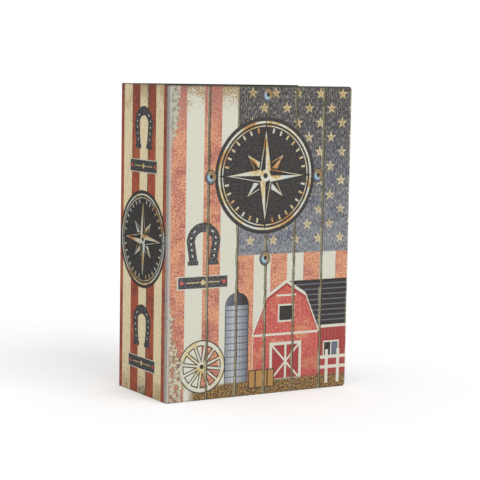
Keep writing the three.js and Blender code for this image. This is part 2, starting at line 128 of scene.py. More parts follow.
class Side(Enum):
    """Parts of the printed sheet, each with its own material."""

    FRONT = 0
    SPINE = 1
    BACK = 2


class Span(NamedTuple):
    """A mask over a number: where it starts and ends, how strong it gets and what it keeps at least."""

    start: float
    end: float
    strength: float = 1.0
    least: float = 0.0


class Slab(NamedTuple):
    """An upright rectangle in the print: its middle, half its width and half its height."""

    across: float
    up: float
    half_across: float
    half_up: float


def srgb(red: float, green: float, blue: float) -> Colour:
    """Turns a screen colour into a linear one.

    Args:
        red: red part, from 0 to 255.
        green: green part.
        blue: blue part.

    Returns:
        The colour that sockets take.
    """
    def linear(part: float) -> float:
        """One part, by the screen's standard curve."""
        share = part / SCREEN_WHITE
        if share <= CURVE_START:
            return share / CURVE_SLOPE
        return ((share + CURVE_SHIFT) / (1 + CURVE_SHIFT)) ** CURVE_POWER
    return (linear(red), linear(green), linear(blue), 1.0)


class Field:
    """A number that changes over a surface, held by a node's output socket."""

    def __init__(self, graph: "Graph", socket: Socket) -> None:
        """Keeps the socket and the graph that it belongs to."""
        self.graph = graph
        self.socket = socket

    def __add__(self, other: "Field | float") -> "Field":
        """Sum."""
        return self.graph.math("ADD", self, other)

    def __sub__(self, other: "Field | float") -> "Field":
        """Difference."""
        return self.graph.math("SUBTRACT", self, other)

    def __rsub__(self, other: float) -> "Field":
        """Difference from a plain number."""
        return self.graph.math("SUBTRACT", other, self)

    def __mul__(self, other: "Field | float") -> "Field":
        """Product. For masks it keeps what lies in both."""
        return self.graph.math("MULTIPLY", self, other)

    def __truediv__(self, other: "Field | float") -> "Field":
        """Quotient."""
        return self.graph.math("DIVIDE", self, other)

    def __or__(self, other: "Field") -> "Field":
        """For masks: what lies in either."""
        return self.graph.math("MAXIMUM", self, other)

    def __abs__(self) -> "Field":
        """Size without sign."""
        return self.graph.math("ABSOLUTE", self)

    def fract(self) -> "Field":
        """What is left after whole steps."""
        return self.graph.math("FRACT", self)

    def above(self, edge: "Field | float", soft: float = 0.15) -> "Field":
        """Mask that is 1 where the number is above an edge, and soft either side of it."""
        return (self - edge).spread(-soft, soft)

    def below(self, edge: "Field | float", soft: float = 0.15) -> "Field":
        """Mask that is 1 where the number is below an edge, and soft either side of it."""
        return (self - edge).spread(soft, -soft)

    def within(self, half: "Field | float", soft: float = 0.15) -> "Field":
        """Mask that is 1 where the number is no further than half from zero."""
        return abs(self).below(half, soft)

    def over(self, span: Span) -> "Field":
        """Mask of a span."""
        return self.spread(span.start, span.end, span.least, span.strength)

    def ribs(self, pitch: float, share: float, soft: float) -> "Field":
        """Mask of lines that take a share of each pitch, with soft as a share too."""
        return (self / pitch).fract().below(share, soft)

    def nearest(self, first: float, pitch: float, shift: float = 0.0) -> "Field":
        """Signed distance from the nearest of lines at a pitch, with shift as a share of it."""
        return (((self - first) / pitch + (0.5 + shift)).fract() - 0.5) * pitch

    def spread(self, start: float, end: float, low: float = 0.0, high: float = 1.0) -> "Field":
        """Takes the number from one range to another and holds it there.

        Args:
            start: number that becomes low.
            end: number that becomes high.
            low: result up to the start.
            high: result from the end on.

        Returns:
            The number in its new range.
        """
        node = self.graph.node("ShaderNodeMapRange", interpolation_type="LINEAR", clamp=True)
        for index, value in enumerate((self, start, end, low, high)):
            self.graph.feed(node.inputs[index], value)
        return Field(self.graph, node.outputs[0])


class Graph:
    """Builds the nodes of one material or one node group."""

    def __init__(self, tree: Tree) -> None:
        """Keeps the tree that nodes are added to."""
        self.tree = tree

    def node(self, kind: str, **settings: object) -> Node:
        """Adds a node.

        Args:
            kind: Blender's name of the node type.
            **settings: the node's own settings.

        Returns:
            The node.
        """
        node = self.tree.nodes.new(kind)
        for name, value in settings.items():
            setattr(node, name, value)
        return node

    def feed(self, socket: Socket, value: object) -> None:
        """Links a field or socket to an input, or sets a plain value on it.

        Args:
            socket: the input.
            value: field, socket or plain value.
        """
        if isinstance(value, Field):
            value = value.socket
        if isinstance(value, Socket):
            self.tree.links.new(value, socket)
        else:
            socket.default_value = value

    def fill(self, node: Node, **values: object) -> Node:
        """Feeds several inputs of a node.

        Args:
            node: the node.
            **values: a value for each input, named with low lines for spaces.

        Returns:
            The same node.
        """
        for label, value in values.items():
            self.feed(node.inputs[label.replace("_", " ")], value)
        return node

    def math(self, operation: str, *values: "Field | float") -> Field:
        """One math node.

        Args:
            operation: what it does.
            *values: one or two numbers.

        Returns:
            The result.
        """
        node = self.node("ShaderNodeMath", operation=operation)
        for index, value in enumerate(values):
            self.feed(node.inputs[index], value)
        return Field(self, node.outputs[0])

    def mix(self, share: "Field | float", under: object, over: object) -> Socket:
        """Lays one colour over another.

        Args:
            share: how much of the upper colour shows.
            under: the lower colour.
            over: the upper colour.

        Returns:
            The mixed colour.
        """
        node = self.node("ShaderNodeMix", data_type="RGBA", blend_type="MIX", clamp_factor=True)
        self.feed(node.inputs[0], share)
        self.feed(node.inputs[6], under)
        self.feed(node.inputs[7], over)
        return node.outputs[2]

    def stained(self, base: object, *stains: tuple[Field, object]) -> object:
        """Lays stains over a colour, one after another.

        Args:
            base: the colour under them.
            *stains: mask and colour of each.

        Returns:
            The stained colour.
        """
        for share, colour in stains:
            base = self.mix(share, base, colour)
        return base

    def place(self, across: "Field | float", up: "Field | float") -> Socket:
        """A flat place as a vector."""
        return self.fill(self.node("ShaderNodeCombineXYZ"), X=across, Y=up).outputs[0]

    def noise(self, where: Socket, scale: "Field | float", detail: float = 2.0,
              rough: float = 0.5) -> Field:
        """Soft noise of about 0 to 1.

        Args:
            where: the place it is read at.
            scale: waves in a unit of that place.
            detail: how many finer waves are added.
            rough: how strong the finer waves are.

        Returns:
            The noise.
        """
        node = self.node("ShaderNodeTexNoise", noise_dimensions="3D")
        self.fill(node, Vector=where, Scale=scale, Detail=detail, Roughness=rough)
        return Field(self, node.outputs[0])

    def disc(self, across: Field, up: Field) -> Field:
        """Distance from the middle."""
        return self.math("SQRT", across * across + up * up)

    def folded(self, across: Field, up: Field, count: int, turn: float = 0.0) -> tuple[Field, Field]:
        """Angles folded onto the nearest of evenly spaced rays.

        Args:
            across: place across from the middle.
            up: place up from the middle.
            count: number of rays.
            turn: share of a step that the rays are turned by.

        Returns:
            Unsigned angle from the nearest ray, and the side of the ray from -0.5 to 0.5.
        """
        step = math.tau / count
        steps = self.math("ARCTAN2", up, across) / step + (turn + 0.5)
        side = steps.fract() - 0.5
        return abs(side) * step, side

    def star(self, across: Field, up: Field, points: int, outer: float, inner: float,
             turn: float = 0.0) -> Field:
        """Depth inside a star with straight sides.

        Args:
            across: place across from the middle.
            up: place up from the middle.
            points: number of points.
            outer: radius of the points.
            inner: radius of the notches.
            turn: share of a step that the points are turned by.

        Returns:
            A number above zero inside the star, in the unit of its radii.
        """
        angle, _ = self.folded(across, up, points, turn)
        reach = self.disc(across, up)
        along = reach * self.math("COSINE", angle)
        aside = reach * self.math("SINE", angle)
        half = math.pi / points
        notch = (inner * math.cos(half), inner * math.sin(half))
        edge = Vector((notch[1], outer - notch[0])).normalized()
        return edge.x * outer - (along * edge.x + aside * edge.y)


class Group:
    """A shader node group with named inputs and outputs, built once and placed many times."""

    kinds = {"float": "NodeSocketFloat", "colour": "NodeSocketColor", "vector": "NodeSocketVector"}

    def __init__(self, name: str, inputs: dict[str, str], outputs: dict[str, str]) -> None:
        """Makes the tree and its sockets.

        Args:
            name: name of the group.
            inputs: kind of each input.
            outputs: kind of each output.
        """
        self.tree = bpy.data.node_groups.new(name, "ShaderNodeTree")
        for way, sockets in (("INPUT", inputs), ("OUTPUT", outputs)):
            for label, kind in sockets.items():
                self.tree.interface.new_socket(label, in_out=way, socket_type=self.kinds[kind])
        self.graph = Graph(self.tree)
        self.source = self.graph.node("NodeGroupInput")
        self.target = self.graph.node("NodeGroupOutput")

    def field(self, label: str) -> Field:
        """An input as a number."""
        return Field(self.graph, self.source.outputs[label])

    def give(self, **values: object) -> None:
        """Sets outputs, named with low lines for spaces."""
        self.graph.fill(self.target, **values)

    def placed(self, graph: Graph, **values: object) -> Node:
        """Puts the group in a graph, with its inputs named with low lines for spaces."""
        return graph.fill(graph.node("ShaderNodeGroup", node_tree=self.tree), **values)


@dataclass(frozen=True)
class Inks:
    """Colours of the print."""

    red: Colour = srgb(196, 124, 100)
    orange: Colour = srgb(218, 152, 112)
    crimson: Colour = srgb(170, 97, 86)
    salmon: Colour = srgb(232, 190, 168)
    plum: Colour = srgb(148, 98, 108)
    cream: Colour = srgb(219, 218, 202)
    sand: Colour = srgb(220, 210, 178)
    gold: Colour = srgb(214, 194, 142)
    tan: Colour = srgb(182, 152, 104)
    rust: Colour = srgb(196, 138, 78)
    soot: Colour = srgb(112, 98, 80)
    black: Colour = srgb(52, 48, 48)
    night: Colour = srgb(80, 77, 78)
    indigo: Colour = srgb(88, 92, 118)
    dusk: Colour = srgb(140, 144, 152)
    mist: Colour = srgb(172, 172, 166)
    pale_blue: Colour = srgb(200, 212, 208)
    sky: Colour = srgb(160, 196, 214)
    steel_dark: Colour = srgb(108, 112, 124)
    steel_light: Colour = srgb(190, 196, 202)
    groove: Colour = srgb(152, 142, 106)
    groove_dark: Colour = srgb(72, 68, 54)
    groove_light: Colour = srgb(198, 190, 158)
    bare: Colour = srgb(192, 192, 172)
    moss: Colour = srgb(140, 148, 130)
    spine_red: Colour = srgb(184, 90, 66)
    spine_dark: Colour = srgb(140, 66, 54)
    spine_cream: Colour = srgb(254, 240, 204)
    # The next two colours are the fold's grey, rubbed wear and partly a painted reflection of the rounded
    # corner, and a painted highlight on that corner.
    fold: Colour = srgb(172, 168, 162)
    fold_light: Colour = srgb(216, 210, 200)
    barn: Colour = srgb(206, 96, 88)
    barn_shade: Colour = srgb(164, 66, 66)
    straw: Colour = srgb(176, 138, 82)
    margin: Colour = srgb(12, 11, 11)


@dataclass(frozen=True)
class SheetPlan:
    """Flat measure of the printed sheet, in millimetres, counted from the spine's front edge.

    The front runs to +width, the spine to -thick and the back on from there to -(thick + width).
    """

    width: float
    height: float
    thick: float


def stirred(field: Field, *noises: tuple[Field, float]) -> Field:
    """Moves the edges of a mask about.

    Args:
        field: the number that the mask is made from.
        *noises: noise that lies near 0.5, and the reach that it moves the edge by.

    Returns:
        The moved number.
    """
    for noise, reach in noises:
        field = field + (noise - 0.5) * reach
    return field


class PrintLayer(Group):
    """A group that prints one motif over the colour under it, at a place in millimetres.

    Patch is a broad noise for blotches and Speck a fine one for mottling; both lie near 0.5.
    """

    label = "print"
    sockets = {"Across": "float", "Up": "float", "Under": "colour", "Patch": "float", "Speck": "float"}

    def __init__(self, plan: SheetPlan, inks: Inks) -> None:
        """Opens the inputs, draws the motif and gives the result.

        Args:
            plan: flat measure of the sheet.
            inks: colours of the print.
        """
        super().__init__(self.label, self.sockets, {"Over": "colour"})
        self.plan = plan
        self.inks = inks
        self.across = self.field("Across")
        self.up = self.field("Up")
        self.patch = self.field("Patch")
        self.speck = self.field("Speck")
        self.colour: object = self.source.outputs["Under"]
        self.draw()
        self.give(Over=self.colour)

    def draw(self) -> None:
        """Lays the motif's colours in order."""
        raise NotImplementedError

    def paint(self, mask: Field, colour: object) -> None:
        """Lays a colour over what is there, where the mask is."""
        self.colour = self.graph.mix(mask, self.colour, colour)

    def slab(self, slab: Slab) -> Field:
        """Mask of a slab."""
        beside, over = self.across - slab.across, self.up - slab.up
        return beside.within(slab.half_across) * over.within(slab.half_up)

    def lay(self, colour: object, *slabs: Slab) -> None:
        """Lays a colour over slabs."""
        for slab in slabs:
            self.paint(self.slab(slab), colour)


class Stripes(PrintLayer):
    """Red and cream stripes of one width, with grime along the head."""

    label = "print_stripes"
    width = 15.2
    start = -0.5
    quarter, edge_soft = 0.25, 0.006
    grime_below, grime_past = 30.0, 2.0
    grime_depth = (-0.5, 0.7)
    dust_specks, dust_patches, dirt_specks = 2.4, 2.6, 4.5
    dust, dirt = Span(0.0, 0.5, 0.92), Span(0.3, 1.0, 0.75)
    dirt_on_red = 0.5
    plum_below = 40.0
    plum = Span(0.42, 0.54, 0.8)
    warm_from, warm_soft, warmth = 60.0, 8.0, 0.06
    orange, crimson = Span(0.46, 0.57), Span(0.48, 0.38, 0.8)
    light_specks, dark_specks = Span(0.5, 0.62, 0.65), Span(0.49, 0.38, 0.7)

    def draw(self) -> None:
        """Creams with dust and soot at the head, and the reds over them."""
        inks, head = self.inks, self.plan.height
        wave = ((self.across - self.start) / (2 * self.width)).fract()
        red = abs(wave - self.quarter).below(self.quarter, self.edge_soft)
        grime = self.up.spread(head - self.grime_below, head + self.grime_past, *self.grime_depth)
        dust = stirred(grime, (self.speck, self.dust_specks), (self.patch, self.dust_patches))
        dirt = stirred(grime, (self.speck, self.dirt_specks)).over(self.dirt)
        self.colour = self.graph.stained(inks.cream, (dust.over(self.dust), inks.tan), (dirt, inks.soot))
        plum = self.up.spread(head - self.plum_below, head) * self.patch.over(self.plum)
        soot = dirt * self.dirt_on_red
        self.paint(red, self.graph.stained(self.reds(), (plum, inks.plum), (soot, inks.soot)))

    def reds(self) -> object:
        """Blotchy faded red.

        Returns:
            Red with orange and crimson blotches, mottled light and dark.
        """
        inks = self.inks
        warm = self.patch + self.across.above(self.warm_from, self.warm_soft) * self.warmth
        return self.graph.stained(
            inks.red, (warm.over(self.orange), inks.orange), (warm.over(self.crimson), inks.crimson),
            (self.speck.over(self.light_specks), inks.salmon),
            (self.speck.over(self.dark_specks), inks.crimson))


class StarField(PrintLayer):
    """A slate field with staggered rows of worn stars."""

    label = "print_stars"
    left, low = 60.2, (110.0, 0.6)
    points, radius, notch_share = 5, 5.0, 0.38
    first = (155.0, 234.3)
    pitch = (20.8, 22.7)
    row_shifts = (0.0, 0.5)
    cut_left, cut_low, cut_soft, cut_depth = 66.6, 115.6, 0.2, 9.0
    dusk_up, indigo_up, gold_up = Span(205.0, 120.0), Span(230.0, 170.0), Span(190.0, 232.0)
    indigo_patches = Span(0.5, 0.42, 0.6)
    light_streaks, dark_streaks = Span(0.51, 0.64, 0.7), Span(0.5, 0.38, 0.7)
    worn = Span(0.4, 0.5, 1.0, 0.3)
    heart, heart_specks = Span(0.3, 1.4), 3.0
    outline, outline_share = (-0.6, 0.3), 0.45
    edge_soft = 0.25

    def draw(self) -> None:
        """The streaked field, then the stars that it doesn't cut off."""
        inks = self.inks
        field = self.across.above(self.left) * self.up.above(*self.low)
        self.paint(field, self.graph.stained(
            inks.night, (self.up.over(self.dusk_up), inks.dusk),
            (self.patch.over(self.indigo_patches) * self.up.over(self.indigo_up), inks.indigo),
            (self.speck.over(self.light_streaks), inks.mist),
            (self.speck.over(self.dark_streaks), inks.black)))
        first, second = (self.row(shift) for shift in self.row_shifts)
        cut = self.across.below(self.cut_left, self.cut_soft) + self.up.below(self.cut_low, self.cut_soft)
        deep = (first | second) - cut * self.cut_depth
        worn = ((self.patch + self.speck) * 0.5).over(self.worn)
        heart = stirred(deep, (self.speck, self.heart_specks)).over(self.heart)
        gilt = self.graph.stained(inks.sand, (self.up.over(self.gold_up), inks.gold), (heart, inks.tan))
        self.paint(deep.above(*self.outline) * field * self.outline_share, inks.black)
        self.paint(deep.above(0.0, self.edge_soft) * field * worn, gilt)

    def row(self, shift: float) -> Field:
        """Every other row of stars.

        Args:
            shift: share of the pitch that the rows are moved by, both ways.

        Returns:
            Depth inside the nearest star.
        """
        column = self.across.nearest(self.first[0], self.pitch[0], shift)
        row = self.up.nearest(self.first[1], self.pitch[1], shift)
        return self.graph.star(row, column, self.points, self.radius, self.radius * self.notch_share)


class Badge(PrintLayer):
    """A round black badge with a compass star, drawn for a radius of 1."""

    label = "print_badge"
    edge_soft, line_soft, fine_soft = 0.006, 0.005, 0.004
    ring, ring_half = 0.915, 0.018
    inner_ring, inner_ring_half = 0.85, 0.009
    tick_start, tick_end, tick_half, tick_count = 0.74, 0.82, 0.016, 32
    star_points = 4
    star_shapes = ((0.5, 0.17, 0.5), (0.76, 0.15, 0.0))
    star_outline, facet_line = -0.03, 0.012
    hub, hub_hole = 0.1, 0.045
    gold, rust, blue = Span(0.48, 0.55), Span(0.55, 0.63), Span(0.45, 0.37)
    soot_specks, soot_patches = Span(0.62, 0.7), Span(0.44, 0.5)
    grey_specks = Span(0.5, 0.7, 0.25)

    def draw(self) -> None:
        """The disc with its rings and ticks, two stars of four points, and the hub."""
        graph, inks = self.graph, self.inks
        reach = graph.disc(self.across, self.up)
        worn = graph.stained(
            inks.cream, (self.patch.over(self.gold), inks.gold), (self.patch.over(self.rust), inks.rust),
            (self.patch.over(self.blue), inks.pale_blue),
            (self.speck.over(self.soot_specks) * self.patch.over(self.soot_patches), inks.soot))
        dark = graph.mix(self.speck.over(self.grey_specks), inks.black, inks.dusk)
        self.paint(reach.below(1.0, self.edge_soft), dark)
        self.paint((reach - self.ring).within(self.ring_half, self.line_soft), worn)
        angle, _ = graph.folded(self.across, self.up, self.tick_count)
        band = reach.above(self.tick_start, self.line_soft) * reach.below(self.tick_end, self.line_soft)
        self.paint(band * (angle * reach).below(self.tick_half, self.line_soft), worn)
        self.paint((reach - self.inner_ring).within(self.inner_ring_half, self.fine_soft), worn)
        for outer, inner, turn in self.star_shapes:
            depth = graph.star(self.across, self.up, self.star_points, outer, inner, turn)
            _, side = graph.folded(self.across, self.up, self.star_points, turn)
            self.paint(depth.above(self.star_outline, self.edge_soft), inks.black)
            self.paint(depth.above(0.0, self.edge_soft), worn)
            facet = depth.above(self.facet_line, self.fine_soft) * side.above(0.0, self.fine_soft)
            self.paint(facet * reach.above(self.hub, self.line_soft), inks.black)
        self.paint(reach.below(self.hub, self.line_soft), worn)
        self.paint(reach.below(self.hub_hole, self.line_soft), inks.black)


class Charms(PrintLayer):
    """A dark horseshoe over a bare black banner, centred on the horseshoe's arch."""

    label = "print_charms"
    arch, arch_half, closing, leg_end = 11.0, 3.6, -0.16, -15.5
    heels = (Slab(-8.8, -16.2, 4.6, 1.6), Slab(8.8, -16.2, 4.6, 1.6))
    nails, nail_half, nail_reach = (4.6, 0.32, 0.04), 0.55, 13.0
    banner, banner_field = Slab(0.0, -31.0, 22.5, 5.0), Slab(0.0, -31.0, 21.5, 4.4)
    rule, rule_gap = Slab(0.0, -31.0, 14.5, 0.35), 3.4
    end_gem, end_gem_half, middle_gem_half = 18.5, 1.9, 2.4
    grey_specks = Span(0.44, 0.64, 0.55)

    def draw(self) -> None:
        """The shoe with its heels and nail holes, then the banner."""
        graph, inks, across, up = self.graph, self.inks, self.across, self.up
        dark = graph.mix(self.speck.over(self.grey_specks), inks.black, inks.dusk)
        rise, fall = graph.math("MAXIMUM", up, 0.0), graph.math("MINIMUM", up, 0.0)
        bow = graph.disc(across, rise) + fall * self.closing - self.arch
        self.paint(bow.within(self.arch_half) * up.above(self.leg_end), dark)
        self.lay(dark, *self.heels)
        holes = (up + self.nails[0] / 2).ribs(*self.nails)
        self.paint(bow.within(self.nail_half) * holes * up.within(self.nail_reach), inks.cream)
        self.lay(inks.cream, self.banner)
        self.lay(dark, self.banner_field)
        bar = abs(up - self.banner.up)
        self.paint((abs(abs(across) - self.end_gem) + bar).below(self.end_gem_half), inks.barn)
        gem = abs(across) + bar
        self.paint(self.slab(self.rule) * gem.above(self.rule_gap), inks.gold)
        self.paint(gem.below(self.middle_gem_half), inks.gold)


class Farm(PrintLayer):
    """A red barn with a silo, a leaning wheel, straw and a fence."""

    label = "print_farm"
    fine_soft = 0.2
    silo, silo_sheet = Slab(61.0, 39.0, 10.6, 33.0), Slab(61.0, 38.7, 9.9, 32.7)
    vent = Slab(61.0, 82.0, 1.2, 2.2)
    glint, silo_round = 2.5, 12.5
    seams, seam_shade, silo_ribs, rib_shade = (5.2, 0.12, 0.04), 0.8, (2.7, 0.16, 0.06), 0.35
    dome_foot, dome_rise, dome_soft, dome_shade = 71.5, 10.0, 0.02, Span(-9.0, 6.0)
    wing_roof, wing_wall = Slab(146.0, 69.0, 40.0, 19.0), Slab(161.0, 29.0, 25.0, 21.0)
    wing_trim, tiles, wing_boards = Slab(161.0, 50.0, 26.0, 1.1), (4.2, 0.22, 0.05), (3.4, 0.13, 0.04)
    window = Slab(149.0, 31.0, 7.6, 7.1)
    dark_pane, bright_pane = Slab(145.5, 31.0, 3.0, 5.9), Slab(152.5, 31.0, 3.0, 5.9)
    barn_across, barn_half, barn_foot = 106.0, 30.0, 8.0
    upper_roof, lower_roof = (-0.62, 88.0), (-2.3, 118.0)
    boards, board_gap = (3.75, 0.1, 0.04), 0.55
    board_orange, board_foot = Span(0.5, 0.62, 0.7), Span(40.0, 6.0, 0.45)
    board_dark, board_light = Span(0.48, 0.34, 0.8), Span(0.54, 0.68, 0.6)
    eave_up, eave_half, eave_past, eave_drop, eave_shade = 46.5, 1.3, 1.6, 2.2, 1.2
    beam, sill = Slab(106.0, 77.0, 9.0, 0.7), Slab(106.0, 46.5, 30.0, 0.9)
    loft, loft_hole = Slab(106.0, 63.0, 7.6, 7.0), Slab(106.0, 63.0, 6.3, 5.7)
    doorway, door = Slab(106.0, 24.5, 14.8, 15.6), Slab(106.0, 24.5, 13.6, 14.4)
    door_frame, door_middle, brace = 1.2, 0.9, 1.1
    ground_from, ground_up, straw_specks = (21.0, 3.0), (11.0, 1.2), Span(0.42, 0.58)
    bale_rim, bale = Slab(84.0, 12.5, 11.8, 7.3), Slab(84.0, 12.5, 11.0, 6.5)
    cords = (Slab(78.5, 12.5, 0.6, 6.5), Slab(89.5, 12.5, 0.6, 6.5))
    stalks, stalk_shade = (1.7, 0.3, 0.1), 0.6
    rails = (Slab(162.5, 17.0, 25.0, 1.3), Slab(162.5, 25.0, 25.0, 1.3))
    fence, first_post, post_pitch, post_half = Slab(162.5, 17.5, 25.0, 13.5), 145.0, 11.0, 1.4
    wheel_place, tyre, wheel_inside, spokes = (30.5, 26.0), 18.2, 18.0, (12, 0.3)
    wheel_dark, wheel_light = (2.4, 1.6, 5.0), (1.5, 0.8, 3.9)
    hub_clear, hub_hole, wheel_gold = 4.0, 1.8, Span(0.48, 0.58)

    def draw(self) -> None:
        """What stands behind first, and the wheel last."""
        self.draw_silo()
        self.draw_wing()
        self.draw_gable()
        self.draw_openings()
        self.draw_ground()
        self.draw_wheel()

    def draw_silo(self) -> None:
        """A ribbed steel silo with a dome."""
        graph, inks = self.graph, self.inks
        across, over = self.across - self.silo.across, self.up - self.dome_foot
        self.lay(inks.black, self.silo)
        self.lay(graph.stained(
            inks.steel_light, (abs(across + self.glint).spread(0.0, self.silo_round), inks.steel_dark),
            (self.up.ribs(*self.seams) * self.seam_shade, inks.black),
            (across.ribs(*self.silo_ribs) * self.rib_shade, inks.black)), self.silo_sheet)
        dome = graph.disc(across / self.silo.half_across, over / self.dome_rise).below(1.0, self.dome_soft)
        cap = graph.mix(across.over(self.dome_shade), inks.steel_dark, inks.black)
        self.paint(dome * over.above(0.0), cap)
        self.lay(inks.black, self.vent)

    def draw_wing(self) -> None:
        """The long side behind the gable, with its roof and a window."""
        graph, inks = self.graph, self.inks
        boards = self.across.ribs(*self.wing_boards)
        self.lay(graph.mix(self.up.ribs(*self.tiles), inks.black, inks.steel_dark), self.wing_roof)
        self.lay(graph.mix(boards, inks.barn_shade, inks.crimson), self.wing_wall)
        self.lay(inks.cream, self.window)
        self.lay(inks.black, self.dark_pane)
        self.lay(inks.steel_dark, self.bright_pane)
        self.lay(inks.cream, self.wing_trim)

    def draw_gable(self) -> None:
        """The boarded gable under its broken roof line."""
        graph, inks, up = self.graph, self.inks, self.up
        side = self.across - self.barn_across
        out = abs(side)
        upper, lower = (out * slope + ridge for slope, ridge in (self.upper_roof, self.lower_roof))
        over = up - graph.math("MINIMUM", upper, lower)
        gable = over.below(0.0) * up.above(self.barn_foot) * out.below(self.barn_half)
        self.paint(gable, graph.stained(
            inks.barn, (side.ribs(*self.boards) * self.board_gap, inks.black),
            (self.patch.over(self.board_orange), inks.orange),
            (self.speck.over(self.board_dark), inks.barn_shade),
            (self.speck.over(self.board_light), inks.salmon), (up.over(self.board_foot), inks.barn_shade)))
        shade = (over + self.eave_drop).within(self.eave_shade, self.fine_soft)
        self.paint(shade * gable, inks.barn_shade)
        eave = over.within(self.eave_half, self.fine_soft) * out.below(self.barn_half + self.eave_past)
        self.paint(eave * up.above(self.eave_up), inks.cream)
        self.paint(self.slab(self.beam) * gable, inks.cream)

    def draw_openings(self) -> None:
        """The loft's hatch, the braced door and the rail between them."""
        inks, door = self.inks, self.door
        self.lay(inks.cream, self.loft)
        self.lay(inks.black, self.loft_hole)
        out, rise = abs(self.across - door.across), abs(self.up - door.up)
        brace = abs(out * (door.half_up / door.half_across) - rise).below(self.brace, self.fine_soft)
        stiles = (out - door.half_across).within(self.door_frame) | out.below(self.door_middle)
        lines = brace | stiles | (rise - door.half_up).within(self.door_frame)
        self.lay(inks.barn_shade, self.doorway)
        self.paint(self.slab(self.doorway) * lines, inks.cream)
        self.lay(inks.cream, self.sill)

    def draw_ground(self) -> None:
        """Straw underfoot, one bale and a fence."""
        graph, inks, up = self.graph, self.inks, self.up
        earth = graph.mix(self.speck.over(self.straw_specks), inks.black, inks.straw)
        self.paint(up.below(*self.ground_up) * self.across.above(*self.ground_from), earth)
        self.lay(inks.black, self.bale_rim)
        self.lay(graph.mix(up.ribs(*self.stalks) * self.stalk_shade, inks.straw, inks.rust), self.bale)
        self.lay(inks.black, *self.cords)
        posts = self.across.nearest(self.first_post, self.post_pitch).within(self.post_half)
        self.paint(posts * self.slab(self.fence), inks.cream)
        self.lay(inks.cream, *self.rails)

    def draw_wheel(self) -> None:
        """A spoked wheel in cream with a dark outline."""
        graph, inks = self.graph, self.inks
        across, up = self.across - self.wheel_place[0], self.up - self.wheel_place[1]
        reach = graph.disc(across, up)
        angle, _ = graph.folded(across, up, *self.spokes)
        aside, tyre = reach * graph.math("SINE", angle), reach - self.tyre
        inside = reach.below(self.wheel_inside)
        rim, spoke, hub = self.wheel_dark
        self.paint(tyre.within(rim) | (aside.below(spoke) * inside) | reach.below(hub), inks.black)
        rim, spoke, hub = self.wheel_light
        clear = inside * reach.above(self.hub_clear)
        self.paint(tyre.within(rim) | (aside.below(spoke) * clear) | reach.below(hub),
                   graph.mix(self.patch.over(self.wheel_gold), inks.cream, inks.gold))
        self.paint(reach.below(self.hub_hole), inks.black)


class Planks(PrintLayer):
    """Grooves between weathered planks: light on the left, and dark with an olive middle."""

    label = "print_planks"
    first, pitch = 34.4, 25.9
    clear_left, clear_right = 5.0, 8.0
    specks, patches = 1.2, 2.4
    pale_off, pale_width, pale = -1.25, (0.45, 0.3), Span(0.46, 0.54, 0.7)
    dark_width, dark = (1.12, 0.25), Span(0.34, 0.48, 0.98, 0.6)
    fleck_off, fleck_width = -0.22, (0.34, 0.25)
    fleck_up = Span(190.0, 90.0, 0.9, 0.4)
    fleck_light = Span(0.45, 0.56)

    def draw(self) -> None:
        """One groove at every pitch, moved about by both noises."""
        inks, across = self.inks, self.across
        off = across.nearest(self.first, self.pitch)
        off = stirred(off, (self.speck, self.specks), (self.patch, self.patches))
        inside = across.above(self.first - self.clear_left) * across.below(self.plan.width - self.clear_right)
        pale = (off - self.pale_off).within(*self.pale_width) * inside
        self.paint(pale * self.patch.over(self.pale), inks.groove_light)
        dark = off.within(*self.dark_width) * inside
        self.paint(dark * self.speck.over(self.dark), inks.groove_dark)
        fleck = (off - self.fleck_off).within(*self.fleck_width) * inside
        olive = self.graph.mix(self.patch.over(self.fleck_light), inks.groove, inks.groove_light)
        self.paint(fleck * self.up.over(self.fleck_up), olive)


